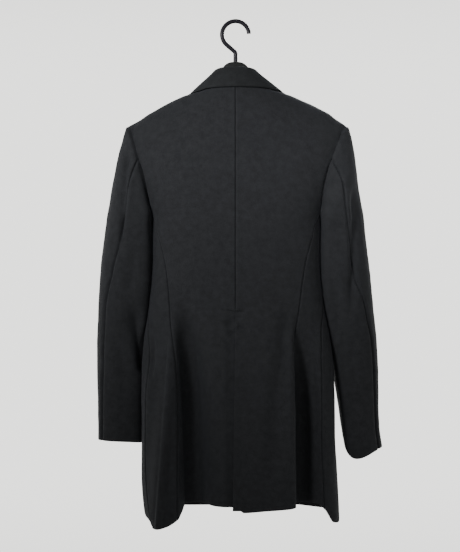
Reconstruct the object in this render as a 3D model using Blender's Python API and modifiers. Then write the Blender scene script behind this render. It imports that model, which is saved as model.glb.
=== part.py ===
"""Long fitted jacket, hanging empty on its hanger.

Metres, +Z up. The origin is the inside top of the hook's loop. The back of the
jacket faces +Y and the wearer's left is +X. Each cloth piece is a wall on the
torso surface or on a sleeve surface, so the edges of neighbours run side by side.
"""
from bisect import bisect_right
from collections import namedtuple
from math import atan, cos, degrees, exp, pi, radians, sin, sqrt

import bmesh
import bpy
from mathutils import Vector

# Cloth and seams
WALL = 0.002            # thickness of the cloth
GAP = 0.0003            # between pieces that meet at a seam
LAYER = 0.0026          # one cloth layer and its gap, where a layer passes under another
PROBE = 0.0005          # step for the slope of a surface, in metres of height
PROBE_TURN = radians(0.4)
TINY = 1e-6
RIM_ORDER = Vector((0.11, 0.37, 1.0))   # a seam's edge faces are split from the end further this way

# Heights of the main lines, measured down from the hook
NECK = -0.118           # neck seam at the centre back
SHOULDER = -0.190       # shoulder point, the top of the armhole
UNDERARM = -0.365       # bottom of the armhole
VENT_TOP = -0.530
HEM_LEVEL = -0.930      # level at which the seams' places at the hem are read
BREAK = -0.372          # foot of the lapels

# Armhole: an oval on a sheet that leans out towards the shoulder
ARM_HALF_DEPTH = 0.042
ARM_STEP = 15           # degrees between its points
PRINCESS_TURN = 150     # where the princess seam leaves it
SIDE_TURN = 150         # where the side seam leaves it, counted down the front
ARM_TOP = {1: 0.200, -1: 0.207}
ARM_FOOT = {1: 0.1545, -1: 0.1565}
ARM_BOW = {1: 0.006, -1: 0.014}

# Centre front and vent
FRONT_LAP = 0.015       # each front passes the centre by this
FRONT_DIP_LEVELS = (-0.300, -0.340)     # the under front starts to step in between these
FRONT_DIP = (0.075, 0.040)      # the under front steps in between these distances
UNDERLAP = 0.035        # width of the vent's under layer past the centre
VENT_DIP = (0.020, 0.009)       # the under layer steps in between these distances
VENT_DIP_LEVELS = (-0.500, VENT_TOP)
VENT_LAP = 0.006        # the upper vent edge passes the centre by this at the hem

Ridge = namedtuple("Ridge", "level left_z left_x right_z right_x")
Depth = namedtuple("Depth", "level back front square")
Width = namedtuple("Width", "level left right")
Fold = namedtuple("Fold", "side face top_x hem_x inner outer depth start full")
Hem = namedtuple("Hem", "turn z")
Pair = namedtuple("Pair", "place value")
Ring = namedtuple("Ring", "inner_x inner_z outer_x outer_z mid_y half_depth back_drop elbow")
Station = namedtuple("Station", "foot_turn foot_level lift roll_x roll_y roll_z edge_turn edge_level")

# Shoulder ridge, from the neck point out to the shoulder point
RIDGE = (
    Ridge(-0.118, -0.1330, 0.068, -0.1290, 0.068),
    Ridge(-0.124, -0.1345, 0.081, -0.1300, 0.083),
    Ridge(-0.130, -0.1365, 0.095, -0.1340, 0.099),
    Ridge(-0.138, -0.1425, 0.110, -0.1415, 0.117),
    Ridge(-0.147, -0.1500, 0.126, -0.1490, 0.134),
    Ridge(-0.155, -0.1570, 0.139, -0.1560, 0.148),
    Ridge(-0.164, -0.1650, 0.152, -0.1645, 0.165),
    Ridge(-0.172, -0.1723, 0.166, -0.1722, 0.179),
    Ridge(-0.181, -0.1810, 0.181, -0.1810, 0.193),
    Ridge(-0.190, -0.1900, 0.200, -0.1900, 0.207),
)

# Half depths behind and before the side line, and how square the section is
DEPTHS = (
    Depth(-0.118, 0.050, 0.046, 1.85),
    Depth(-0.150, 0.060, 0.058, 1.85),
    Depth(-0.190, 0.069, 0.070, 1.95),
    Depth(-0.250, 0.077, 0.080, 2.40),
    Depth(-0.320, 0.078, 0.084, 2.60),
    Depth(-0.365, 0.076, 0.082, 2.60),
    Depth(-0.440, 0.069, 0.076, 2.50),
    Depth(-0.520, 0.064, 0.072, 2.40),
    Depth(-0.600, 0.067, 0.073, 2.40),
    Depth(-0.700, 0.072, 0.074, 2.40),
    Depth(-0.930, 0.075, 0.075, 2.40),
)

# Half widths below the armholes
WIDTHS = (
    Width(-0.365, 0.1545, 0.1565),
    Width(-0.440, 0.1535, 0.1555),
    Width(-0.520, 0.1595, 0.1630),
    Width(-0.580, 0.1685, 0.1740),
    Width(-0.640, 0.1735, 0.182),
    Width(-0.700, 0.1740, 0.184),
    Width(-0.775, 0.1710, 0.185),
    Width(-0.840, 0.167, 0.189),
    Width(-0.905, 0.161, 0.192),
    Width(-0.930, 0.159, 0.193),
)

# Princess seams on the back, by distance from the centre
PRINCESS = (
    Width(-0.372, 0.1485, 0.1460),
    Width(-0.408, 0.1380, 0.1370),
    Width(-0.435, 0.1310, 0.1300),
    Width(-0.466, 0.1256, 0.1240),
    Width(-0.504, 0.1215, 0.1188),
    Width(-0.550, 0.1180, 0.1140),
    Width(-0.603, 0.1120, 0.1105),
    Width(-0.700, 0.1080, 0.1100),
    Width(-0.930, 0.1060, 0.1100),
)

# Side seams, by the turn from the centre back in degrees
SIDE_SEAM = (
    Width(-0.372, 104, 104),
    Width(-0.450, 97, 97),
    Width(-0.510, 86, 80),
    Width(-0.568, 69, 61),
    Width(-0.630, 60, 55),
    Width(-0.750, 61, 54),
    Width(-0.930, 67, 53),
)

# Roll line of the lapels, then the front edge
ROLL = (
    Width(-0.118, 0.0600, 0.0600),
    Width(-0.150, 0.0565, 0.0565),
    Width(-0.190, 0.0490, 0.0490),
    Width(-0.250, 0.0360, 0.0360),
    Width(-0.320, 0.0180, 0.0180),
    Width(-0.372, 0.0020, 0.0020),
    Width(-0.410, -FRONT_LAP, -FRONT_LAP),
    Width(-0.930, -FRONT_LAP, -FRONT_LAP),
)

# Hem, from the centre back round to the centre front
HEM = {
    1: (
        Hem(0, -0.8855),
        Hem(16, -0.8845),
        Hem(24, -0.8840),
        Hem(31, -0.8845),
        Hem(35, -0.8970),
        Hem(39, -0.9110),
        Hem(49, -0.9240),
        Hem(62, -0.9275),
        Hem(66, -0.9265),
        Hem(70, -0.9160),
        Hem(76, -0.9105),
        Hem(90, -0.9085),
        Hem(120, -0.9065),
        Hem(185, -0.9055),
    ),
    -1: (
        Hem(-4, -0.8915),
        Hem(2.8, -0.8918),
        Hem(3.6, -0.8955),
        Hem(18, -0.8920),
        Hem(28, -0.8885),
        Hem(33, -0.8855),
        Hem(38, -0.8840),
        Hem(46, -0.8835),
        Hem(53, -0.8935),
        Hem(64, -0.9195),
        Hem(76, -0.9220),
        Hem(90, -0.9120),
        Hem(120, -0.9065),
        Hem(185, -0.9055),
    ),
}

# Skirt folds: a push along Y that grows from its start down to its full depth
FOLDS = (
    Fold(1, 1, 0.094, 0.080, 0.032, 0.015, -0.034, -0.520, -0.720),
    Fold(1, 1, 0.122, 0.148, 0.022, 0.012, 0.024, -0.560, -0.800),
    Fold(-1, 1, 0.098, 0.104, 0.034, 0.011, 0.010, -0.540, -0.740),
    Fold(-1, 1, 0.117, 0.122, 0.010, 0.026, -0.036, -0.530, -0.720),
    Fold(1, -1, 0.100, 0.112, 0.026, 0.022, 0.010, -0.580, -0.800),
    Fold(-1, -1, 0.104, 0.118, 0.028, 0.024, 0.011, -0.580, -0.800),
)

# Sleeves: one ring a row from the armhole to the cuff, elbow seam in degrees
SLEEVE = {
    1: (
        Ring(0.1545, -0.3650, 0.2000, -0.1900, 0.000, 0.0420, 0.0, 75),
        Ring(0.1550, -0.3618, 0.2050, -0.2045, 0.000, 0.0445, 0.0, 76),
        Ring(0.1554, -0.3612, 0.2120, -0.2270, -0.001, 0.0480, 0.0, 77),
        Ring(0.1556, -0.3635, 0.2190, -0.2520, -0.003, 0.0520, 0.0, 78),
        Ring(0.1556, -0.3690, 0.2260, -0.2840, -0.006, 0.0555, 0.0, 79),
        Ring(0.1550, -0.3770, 0.2330, -0.3220, -0.010, 0.0580, 0.0, 80),
        Ring(0.1540, -0.3920, 0.2410, -0.3660, -0.017, 0.0595, 0.0, 78),
        Ring(0.1530, -0.4200, 0.2480, -0.4180, -0.024, 0.0600, 0.0, 72),
        Ring(0.1532, -0.4700, 0.2538, -0.4700, -0.028, 0.0570, 0.0, 59),
        Ring(0.1575, -0.5300, 0.2576, -0.5300, -0.032, 0.0530, 0.0, 48),
        Ring(0.1665, -0.6000, 0.2602, -0.6000, -0.037, 0.0500, 0.0, 47),
        Ring(0.1705, -0.6800, 0.2603, -0.6800, -0.041, 0.0440, 0.0, 43),
        Ring(0.1722, -0.7400, 0.2590, -0.7400, -0.043, 0.0380, 0.0, 38),
        Ring(0.1730, -0.7805, 0.2590, -0.7775, -0.043, 0.0340, 0.001, 37),
    ),
    -1: (
        Ring(0.1565, -0.3650, 0.2070, -0.1900, 0.000, 0.0420, 0.0, 75),
        Ring(0.1570, -0.3618, 0.2125, -0.2045, 0.000, 0.0445, 0.0, 76),
        Ring(0.1574, -0.3612, 0.2175, -0.2260, -0.001, 0.0480, 0.0, 77),
        Ring(0.1576, -0.3635, 0.2217, -0.2500, -0.003, 0.0520, 0.0, 78),
        Ring(0.1576, -0.3690, 0.2262, -0.2840, -0.006, 0.0555, 0.0, 79),
        Ring(0.1570, -0.3770, 0.2322, -0.3220, -0.010, 0.0580, 0.0, 80),
        Ring(0.1560, -0.3920, 0.2400, -0.3660, -0.017, 0.0595, 0.0, 80),
        Ring(0.1548, -0.4200, 0.2465, -0.4200, -0.024, 0.0600, 0.0, 77),
        Ring(0.1553, -0.4700, 0.2532, -0.4700, -0.027, 0.0570, 0.0, 69),
        Ring(0.1615, -0.5300, 0.2590, -0.5300, -0.029, 0.0530, 0.0, 52),
        Ring(0.1760, -0.6000, 0.2660, -0.6000, -0.032, 0.0500, 0.0, 44),
        Ring(0.1885, -0.6800, 0.2690, -0.6800, -0.036, 0.0440, 0.0, 41),
        Ring(0.1965, -0.7380, 0.2705, -0.7450, -0.039, 0.0380, -0.010, 39),
        Ring(0.2015, -0.7710, 0.2765, -0.7900, -0.040, 0.0340, -0.0265, 38),
    ),
}
FRONT_SLEEVE_SEAM = 255     # degrees round from the outer edge, by way of the back
FIRST_RING = 1.4            # first free ring, counted in rows of the table
BOW_END = 4.0               # the armhole's bow has gone from the sleeve at this ring
CUFF_SKEW = {1: 0.0, -1: 0.9}       # how far the cuff's low tip lies towards the body
FRONT_CUFF = 0.5            # share of the cuff's slant on its front half
RING_PROBE = 0.02

# Collar: foot of the stand, top of the roll and edge of the fall
COLLAR = (
    Station(0, -0.118, 0.0, 0.0000, 0.0450, -0.0895, 0, -0.1270),
    Station(22, -0.118, 0.0, 0.0190, 0.0430, -0.0895, 20, -0.1268),
    Station(45, -0.118, 0.0, 0.0330, 0.0350, -0.0915, 42, -0.1265),
    Station(68, -0.118, 0.0, 0.0420, 0.0200, -0.0975, 66, -0.1260),
    Station(90, -0.118, 0.0, 0.0465, 0.0000, -0.1060, 90, -0.1255),
    Station(102, -0.118, 0.0, 0.0480, -0.0170, -0.1165, 104, -0.1310),
    Station(110, -0.120, 1.0, 0.0500, -0.0300, -0.1300, 113, -0.1400),
    Station(117, -0.131, 1.0, 0.0530, -0.0400, -0.1400, 121, -0.1500),
    Station(125, -0.147, 1.0, 0.0530, -0.0460, -0.1470, 130, -0.1600),
)
ROLL_RADIUS = 0.0019
STAND_BOW = 0.55         # share of the way up the stand at which it is straight
FALL_PUFF = 0.0015
FALL_SEAT = 0.0008       # between the fall's edge and the body
CORNER_RISE = 0.004      # the stand clears the front's neck corner by this
FOOT_SEAT = 0.0007       # between the stand and the neck seam
STAND_SEAT = 0.0012      # between the stand and the front it lies on
STAND_TUCK = 0.008

# Lapels
LAPEL_TOP = -0.153
GORGE_SLOPE = 0.55      # rise of a lapel's top edge for its width
LAPEL_LIFT = 0.0008
LAPEL_PUFF = 0.0030
LAPEL = (
    Width(-0.153, 0.062, 0.062),
    Width(-0.190, 0.066, 0.066),
    Width(-0.240, 0.060, 0.060),
    Width(-0.300, 0.044, 0.044),
    Width(-0.350, 0.022, 0.022),
    Width(-0.372, 0.009, 0.009),
)

# Buttons
BUTTON_HEIGHTS = (-0.425, -0.530, -0.635)
BUTTON_RADIUS = 0.010
BUTTON_THICKNESS = 0.0035
BUTTON_SEAT = 0.0006
BUTTON_ROUNDING = 0.0008

# Hanger
HOOK_RADIUS = 0.0036
LOOP_RADIUS = 0.025
LOOP_CENTRE = -0.0214
LOOP_START = 4          # degrees, from the open side over the top
LOOP_END = 230
STEM_TOP = -0.0545
STEM_BEND = 0.004       # length of the bend above the stem
SLANT_MARKS = (0.5, 0.88)
HANGER_NECK = -0.072
HUMP_HALF = 0.022
ARM_END = 0.188
BAR_THICKNESS = 0.011
BAR_HEIGHT = 0.013
NECK_HEIGHT = 0.022     # the bar is deeper by this at its neck
NECK_SPREAD = (0.050, 0.015)
BAR_CORNER = 0.003
HUMP_FALL = 0.0085
HUMP_POWER = 3          # the hump is flat at its middle and steep at its ends
NECK_RUN = 0.004        # from the neck seam's end to where the bar meets the shoulder
SWEEP = 1.8             # how fast the bar leaves the hump
HANGER_STOPS = (0.0, 0.007, 0.012, 0.016, 0.0195, HUMP_HALF, 0.027, 0.034, 0.043, 0.054, 0.066, 0.080, 0.095,
                0.110, 0.126, 0.142, 0.158, 0.174, ARM_END)
HANGER_SEAT = 0.0008    # further clearance below the sloping cloth

# Rows and columns of the pieces
SHOULDER_LEVELS = (-0.118, -0.125, -0.134, -0.145, -0.158, -0.174)
BODY_LEVELS = (-0.372, -0.400, -0.432, -0.466, -0.500, VENT_TOP)
SKIRT_ROWS = 10
BACK_COLUMNS = 12
VENT_COLUMNS = (0.0, 0.13, 0.22, 0.28, 0.34)    # first columns of the left back, below the vent's top
SEAM_COLUMNS = (0.0, 0.03, 0.06, 0.10, 0.15)    # and above it
SIDE_COLUMNS = 8        # twice the armhole points between its two seams
FRONT_COLUMNS = 10
LAPEL_COLUMNS = 4
LAPEL_ROWS = 9
COLLAR_STEPS = 15
SLEEVE_STEPS = 13
HOOK_STEPS = 18
BUTTON_SIDES = 20

# Softening of the line that runs in from the shoulder point
RELAX_ROUNDS = 4
RELAX_ROWS = 5
BACK_RELAX = (0.03, 0.08)       # softened fully beyond the second distance from the centre
FRONT_RELAX = (0.118, 0.145)


def curve(rows, key, column, at):
    """Column of a table at a place between its rows, by a cubic that never overshoots."""
    pairs = sorted((getattr(row, key), getattr(row, column)) for row in rows)
    xs = [pair[0] for pair in pairs]
    ys = [pair[1] for pair in pairs]
    if at <= xs[0]:
        return ys[0]
    if at >= xs[-1]:
        return ys[-1]
    steps = [(ys[i + 1] - ys[i]) / (xs[i + 1] - xs[i]) for i in range(len(xs) - 1)]

    def slope(i):
        if i == 0:
            return steps[0]
        if i == len(steps):
            return steps[-1]
        before, after = steps[i - 1], steps[i]
        return 2 * before * after / (before + after) if before * after > 0 else 0.0

    i = bisect_right(xs, at) - 1
    width = xs[i + 1] - xs[i]
    t = (at - xs[i]) / width
    rise = t * t * (3 - 2 * t)
    return (ys[i] + (ys[i + 1] - ys[i]) * rise
            + width * (slope(i) * t * (1 - t) ** 2 - slope(i + 1) * t * t * (1 - t)))


def ramp(start, end, at):
    """0 at start, 1 at end, smooth between."""
    t = min(max((at - start) / (end - start), 0.0), 1.0)
    return t * t * (3 - 2 * t)


def side_name(side):
    return "left" if side > 0 else "right"


def arm_share(turn):
    """Height of an armhole point, from 0 at the foot to 1 at the top."""
    return (1 + cos(radians(turn))) / 2


def arm_level(turn):
    return UNDERARM + (SHOULDER - UNDERARM) * arm_share(turn)


def arm_x(side, level):
    share = (level - UNDERARM) / (SHOULDER - UNDERARM)
    return ARM_FOOT[side] + (ARM_TOP[side] - ARM_FOOT[side]) * share - ARM_BOW[side] * 4 * share * (1 - share)


def arm_half_depth(level):
    share = (level - UNDERARM) / (SHOULDER - UNDERARM)
    return ARM_HALF_DEPTH * sqrt(max(1 - (2 * share - 1) ** 2, 0.0))


def depth(level, face):
    return curve(DEPTHS, "level", "back" if face > 0 else "front", level)


def square(level):
    return curve(DEPTHS, "level", "square", level)


def half_width(side, level, face):
    """Half width of the section; beside the armhole it is wide enough to cross its oval."""
    if level >= SHOULDER:
        return curve(RIDGE, "level", side_name(side) + "_x", level)
    if level <= UNDERARM:
        return curve(WIDTHS, "level", side_name(side), level)
    power = square(level)
    cut = (arm_half_depth(level) / depth(level, face)) ** power
    return arm_x(side, level) / (1 - cut) ** (1 / power)


def turn_at_x(side, level, x, face):
    """Turn round the section, from the centre back, at a distance from the centre."""
    power = square(level)
    share = min((abs(x) / half_width(side, level, face)) ** power, 0.999999)
    turn = atan((share / (1 - share)) ** (1 / power))
    turn = turn if x >= 0 else -turn
    return turn if face > 0 else pi - turn


def turn_at_armhole(level, face):
    power = square(level)
    reach = arm_half_depth(level)
    if reach < TINY:
        return pi / 2
    share = (depth(level, face) / reach) ** power - 1
    turn = atan(share ** (1 / power))
    return turn if face > 0 else pi - turn


def fold_push(side, face, x, z):
    """Push of the skirt's folds along Y."""
    push = 0.0
    for fold in FOLDS:
        if fold.side != side or fold.face != face:
            continue
        along = min(max((fold.start - z) / (fold.start - HEM_LEVEL), 0.0), 1.0)
        centre = fold.top_x + (fold.hem_x - fold.top_x) * along
        spread = fold.inner if x < centre else fold.outer
        push += fold.depth * exp(-((x - centre) / spread) ** 2) * ramp(fold.start, fold.full, z)
    return push * face


def torso(side, turn, level):
    """Point on the outer face of the body."""
    face = 1 if cos(turn) >= 0 else -1
    power = square(level)
    across, ahead = sin(turn), cos(turn)
    radius = (abs(ahead) ** power + abs(across) ** power) ** (-1 / power)
    x = half_width(side, level, face) * radius * across
    y = depth(level, face) * radius * ahead
    z = level
    if level > SHOULDER:
        ridge_z = curve(RIDGE, "level", side_name(side) + "_z", level)
        z = level + (ridge_z - level) * (across ** 2 if face > 0 else 1.0)
    if level < UNDERARM:
        y += fold_push(side, face, x, z) * ramp(0.0, 0.25, abs(ahead))
    return Vector((side * x, y, z))


def torso_normal(side, turn, level):
    upper = min(level + PROBE, NECK)
    lower = level - PROBE
    if lower < SHOULDER < upper:
        upper, lower = (level + PROBE, level) if level >= SHOULDER else (level, level - PROBE)
    rise = torso(side, turn, upper) - torso(side, turn, lower)
    along = torso(side, turn + PROBE_TURN, level) - torso(side, turn - PROBE_TURN, level)
    return (rise.cross(along) * side).normalized()


def armhole_turn(arm_turn):
    """Turn round the torso of an armhole point; the front side has turns over 180."""
    face = 1 if arm_turn <= 180 else -1
    return turn_at_armhole(arm_level(arm_turn), face)


def armhole_station(side, arm_turn):
    """Point and normal of the body at one of the armhole's fixed points."""
    level = arm_level(arm_turn)
    turn = armhole_turn(arm_turn % 360)
    half_turn = arm_turn % 360 in (0, 180)
    normal = torso_normal(side, turn, level if not half_turn else level - 2 * PROBE)
    return torso(side, turn, level), normal


def armhole(side, arm_turn):
    """Point and normal anywhere on the armhole, straight between its fixed points."""
    before = int(arm_turn // ARM_STEP) * ARM_STEP
    share = (arm_turn - before) / ARM_STEP
    start, start_normal = armhole_station(side, before)
    if share < TINY:
        return start, start_normal
    end, end_normal = armhole_station(side, before + ARM_STEP)
    return start.lerp(end, share), start_normal.lerp(end_normal, share).normalized()


def princess_turn(side, level):
    return turn_at_x(side, level, curve(PRINCESS, "level", side_name(side), level), 1)


def side_turn(side, level):
    return radians(curve(SIDE_SEAM, "level", side_name(side), level))


def front_edge_turn(side, level):
    return turn_at_x(side, level, curve(ROLL, "level", side_name(side), level), -1)


def hem_z(side, turn):
    return curve(HEM[side], "turn", "z", degrees(turn))


def skirt_level(side, turn, row):
    """Level of a skirt row; the rows spread from the waist to the shaped hem."""
    return VENT_TOP + (hem_z(side, turn) - VENT_TOP) * row / SKIRT_ROWS


def dipped(side, turn, level, amount):
    """Point moved in by a share of one layer, with its normal."""
    normal = torso_normal(side, turn, level)
    return torso(side, turn, level) - normal * (LAYER * amount), normal


def panel_rows(side, start_turn, end_turn, columns, share_of, dip, from_neck):
    """Rows of points and normals down to the hem, from the neck or from below the armhole."""
    rows = []
    levels = list(BODY_LEVELS)
    if from_neck:
        beside_arm = [arm_level(arm_turn) for arm_turn in range(0, PRINCESS_TURN + 1, ARM_STEP)]
        levels = list(SHOULDER_LEVELS) + beside_arm + levels
    for level in levels:
        start = start_turn(level)
        end = end_turn(level)
        row = []
        for column in range(columns + 1):
            share = share_of(column / columns, level)
            turn = start + (end - start) * share
            row.append(dipped(side, turn, level, dip(turn, level)))
        rows.append(row)
    for step in range(1, SKIRT_ROWS + 1):
        row = []
        hem_start = start_turn(HEM_LEVEL)
        hem_end = end_turn(HEM_LEVEL)
        for column in range(columns + 1):
            hem_share = share_of(column / columns, HEM_LEVEL)
            level = skirt_level(side, hem_start + (hem_end - hem_start) * hem_share, step)
            share = share_of(column / columns, level)
            turn = start_turn(level) + (end_turn(level) - start_turn(level)) * share
            row.append(dipped(side, turn, level, dip(turn, level)))
        rows.append(row)
    return rows


def relax(rows, fade):
    """Soften the line that runs in from the shoulder point; the edges stay."""
    first = len(SHOULDER_LEVELS)
    for _ in range(RELAX_ROUNDS):
        points = [[point for point, _ in row] for row in rows]
        for i in range(first, first + RELAX_ROWS):
            for j in range(1, len(rows[i]) - 1):
                share = ramp(*fade, abs(points[i][j].x)) / 2
                middle = (points[i - 1][j] + points[i + 1][j]) / 2
                rows[i][j] = (points[i][j].lerp(middle, share), rows[i][j][1])


def inset(points, normals):
    """Move the edge of a grid of points in by half a seam gap."""
    rows, columns = len(points), len(points[0])
    edge = [(0, j) for j in range(columns)]
    edge += [(i, columns - 1) for i in range(1, rows)]
    edge += [(rows - 1, j) for j in range(columns - 2, -1, -1)]
    edge += [(i, 0) for i in range(rows - 2, 0, -1)]
    middle = edge[columns // 2]
    tangent = points[middle[0]][middle[1] + 1] - points[middle[0]][middle[1]]
    inward = points[1][middle[1]] - points[middle[0]][middle[1]]
    sign = 1 if normals[middle[0]][middle[1]].cross(tangent).dot(inward) > 0 else -1
    moved = [list(row) for row in points]
    for place, (i, j) in enumerate(edge):
        before = edge[place - 1]
        after = edge[(place + 1) % len(edge)]
        point, normal = points[i][j], normals[i][j]
        first = (normal.cross(point - points[before[0]][before[1]]) * sign).normalized()
        second = (normal.cross(points[after[0]][after[1]] - point) * sign).normalized()
        scale = 1 / max(1 + first.dot(second), 0.4)
        moved[i][j] = point + (first + second) * (scale * GAP / 2)
    return moved


def material(name, colour, roughness, metallic=0.0):
    made = bpy.data.materials.new(name)
    made.use_nodes = True
    shader = made.node_tree.nodes["Principled BSDF"]
    shader.inputs["Base Color"].default_value = (*colour, 1.0)
    shader.inputs["Roughness"].default_value = roughness
    shader.inputs["Metallic"].default_value = metallic
    return made


def finish(name, bm, surface, collection, sharp=40):
    """Close, orient and store one piece."""
    bmesh.ops.recalc_face_normals(bm, faces=bm.faces)
    mesh = bpy.data.meshes.new(name)
    bm.to_mesh(mesh)
    bm.free()
    mesh.materials.append(surface)
    mesh.shade_smooth()
    mesh.set_sharp_from_angle(angle=radians(sharp))
    piece = bpy.data.objects.new(name, mesh)
    collection.objects.link(piece)
    return piece


def rim(bm, first, second):
    """Edge face of the wall, split the same way on both pieces of a seam."""
    def rank(pair):
        return pair[0].co.dot(RIM_ORDER)

    high, low = (first, second) if rank(first) > rank(second) else (second, first)
    bm.faces.new((high[0], low[0], low[1]))
    bm.faces.new((high[0], low[1], high[1]))


def cloth(name, rows, surface, collection):
    """Wall of cloth on a grid of points and normals."""
    points = [[point for point, _ in row] for row in rows]
    normals = [[normal for _, normal in row] for row in rows]
    points = inset(points, normals)
    bm = bmesh.new()
    outer = [[bm.verts.new(point) for point in row] for row in points]
    inner = [[bm.verts.new(point - normal * WALL) for point, normal in zip(*pair)]
             for pair in zip(points, normals)]
    count_rows, count_columns = len(points), len(points[0])
    for i in range(count_rows - 1):
        for j in range(count_columns - 1):
            for grid in (outer, inner):
                bm.faces.new((grid[i][j], grid[i][j + 1], grid[i + 1][j + 1], grid[i + 1][j]))
    for j in range(count_columns - 1):
        for i in (0, count_rows - 1):
            rim(bm, (outer[i][j], inner[i][j]), (outer[i][j + 1], inner[i][j + 1]))
    for i in range(count_rows - 1):
        for j in (0, count_columns - 1):
            rim(bm, (outer[i][j], inner[i][j]), (outer[i + 1][j], inner[i + 1][j]))
    return finish(name, bm, surface, collection)


def right_edge_turn(side, level):
    """Outer edge of a back: shoulder seam, armhole, then princess seam."""
    if level > SHOULDER:
        return pi / 2
    if level >= arm_level(PRINCESS_TURN) - TINY:
        return turn_at_armhole(level, 1)
    return princess_turn(side, level)


def front_side_turn(side, level):
    """Outer edge of a front: shoulder seam, armhole, then side seam."""
    if level > SHOULDER:
        return pi / 2
    if level >= arm_level(SIDE_TURN) - TINY:
        return turn_at_armhole(level, -1)
    return side_turn(side, level)


def vent_edge_turn(side, level):
    """Centre back edge: the seam, then the vent's upper or under edge."""
    if level > VENT_TOP - TINY:
        return 0.0
    if side > 0:
        reach = UNDERLAP
    else:
        reach = VENT_LAP * (level - VENT_TOP) / (HEM_LEVEL - VENT_TOP)
    return turn_at_x(side, level, -reach, 1)


def back_share(side):
    """Spacing of a back's columns; the left one gathers them beside the vent."""
    def even(share, level):
        return share

    def gathered(share, level):
        marks = VENT_COLUMNS if level < VENT_TOP - TINY else SEAM_COLUMNS
        last = len(marks) - 1
        place = share * BACK_COLUMNS
        if place <= last:
            return marks[int(round(place))]
        return marks[last] + (1 - marks[last]) * (place - last) / (BACK_COLUMNS - last)

    return gathered if side > 0 else even


def build_back(side, surface, collection):
    def start_turn(level):
        return vent_edge_turn(side, level)

    def end_turn(level):
        return right_edge_turn(side, level)

    def dip(turn, level):
        if side < 0:
            return 0.0
        x = torso(side, turn, level).x
        return ramp(*VENT_DIP, x) * ramp(*VENT_DIP_LEVELS, level)

    rows = panel_rows(side, start_turn, end_turn, BACK_COLUMNS, back_share(side), dip, True)
    for row_number, arm_turn in enumerate(range(0, PRINCESS_TURN + 1, ARM_STEP)):
        rows[len(SHOULDER_LEVELS) + row_number][-1] = armhole_station(side, arm_turn)
    relax(rows, BACK_RELAX)
    return cloth("back_" + side_name(side), rows, surface, collection)


def build_side(side, surface, collection):
    rows = panel_rows(side, lambda level: princess_turn(side, level),
                      lambda level: side_turn(side, level), SIDE_COLUMNS,
                      lambda share, level: share, lambda turn, level: 0.0, False)
    span = 360 - SIDE_TURN - PRINCESS_TURN
    top = [armhole(side, PRINCESS_TURN + span * j / SIDE_COLUMNS) for j in range(SIDE_COLUMNS + 1)]
    return cloth("side_" + side_name(side), [top] + rows, surface, collection)


def front_dip(side, turn, level):
    """The left front passes under the right one along the centre."""
    if side < 0:
        return 0.0
    x = torso(side, turn, level).x
    return ramp(*FRONT_DIP, x) * ramp(*FRONT_DIP_LEVELS, level)


def build_front(side, surface, collection):
    rows = panel_rows(side, lambda level: front_side_turn(side, level),
                      lambda level: front_edge_turn(side, level), FRONT_COLUMNS,
                      lambda share, level: share,
                      lambda turn, level: front_dip(side, turn, level) if turn > pi / 2 else 0.0, True)
    for row_number, arm_turn in enumerate(range(0, SIDE_TURN + 1, ARM_STEP)):
        rows[len(SHOULDER_LEVELS) + row_number][0] = armhole_station(side, 360 - arm_turn)
    relax(rows, FRONT_RELAX)
    return cloth("front_" + side_name(side), rows, surface, collection)


def ring_value(side, column, place):
    """Column of a sleeve's table at a place between its rings."""
    numbered = [Pair(index, getattr(row, column)) for index, row in enumerate(SLEEVE[side])]
    return curve(numbered, "place", "value", place)


def sleeve(side, arm_turn, place):
    """Point on the outer face of a sleeve; place counts the rings of its table."""
    inner_x = ring_value(side, "inner_x", place)
    inner_z = ring_value(side, "inner_z", place)
    outer_x = ring_value(side, "outer_x", place)
    outer_z = ring_value(side, "outer_z", place)
    share = arm_share(arm_turn)
    reach = sin(radians(arm_turn))
    slant = reach * (1 - CUFF_SKEW[side] * cos(radians(arm_turn))) if reach > 0 else reach * FRONT_CUFF
    bow = ARM_BOW[side] * 4 * share * (1 - share) * ramp(BOW_END, 0.0, place)
    x = inner_x + (outer_x - inner_x) * share - bow
    y = ring_value(side, "mid_y", place) + ring_value(side, "half_depth", place) * reach
    z = inner_z + (outer_z - inner_z) * share + ring_value(side, "back_drop", place) * slant
    return Vector((side * x, y, z))


def sleeve_normal(side, arm_turn, place):
    last = len(SLEEVE[side]) - 1
    before, after = max(place - RING_PROBE, 0.0), min(place + RING_PROBE, last)
    down = sleeve(side, arm_turn, after) - sleeve(side, arm_turn, before)
    along = sleeve(side, arm_turn + 1, place) - sleeve(side, arm_turn - 1, place)
    return (down.cross(along) * side).normalized()


def build_sleeve(side, upper, surface, collection):
    """Upper or under sleeve, between the elbow seam and the front seam."""
    last = len(SLEEVE[side]) - 1
    places = [0.0] + [FIRST_RING + (last - FIRST_RING) * step / SLEEVE_STEPS
                      for step in range(SLEEVE_STEPS + 1)]
    start = FRONT_SLEEVE_SEAM - 360 if upper else SLEEVE[side][0].elbow
    end = SLEEVE[side][0].elbow if upper else FRONT_SLEEVE_SEAM
    columns = (end - start) // ARM_STEP
    rows = []
    for place in places:
        elbow = ring_value(side, "elbow", place)
        first = start if upper else elbow
        final = elbow if upper else end
        row = []
        for column in range(columns + 1):
            arm_turn = first + (final - first) * column / columns
            if place == 0:
                row.append(armhole(side, arm_turn))
            else:
                row.append((sleeve(side, arm_turn, place), sleeve_normal(side, arm_turn, place)))
        rows.append(row)
    name = ("upper_sleeve_" if upper else "under_sleeve_") + side_name(side)
    return cloth(name, rows, surface, collection)


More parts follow.
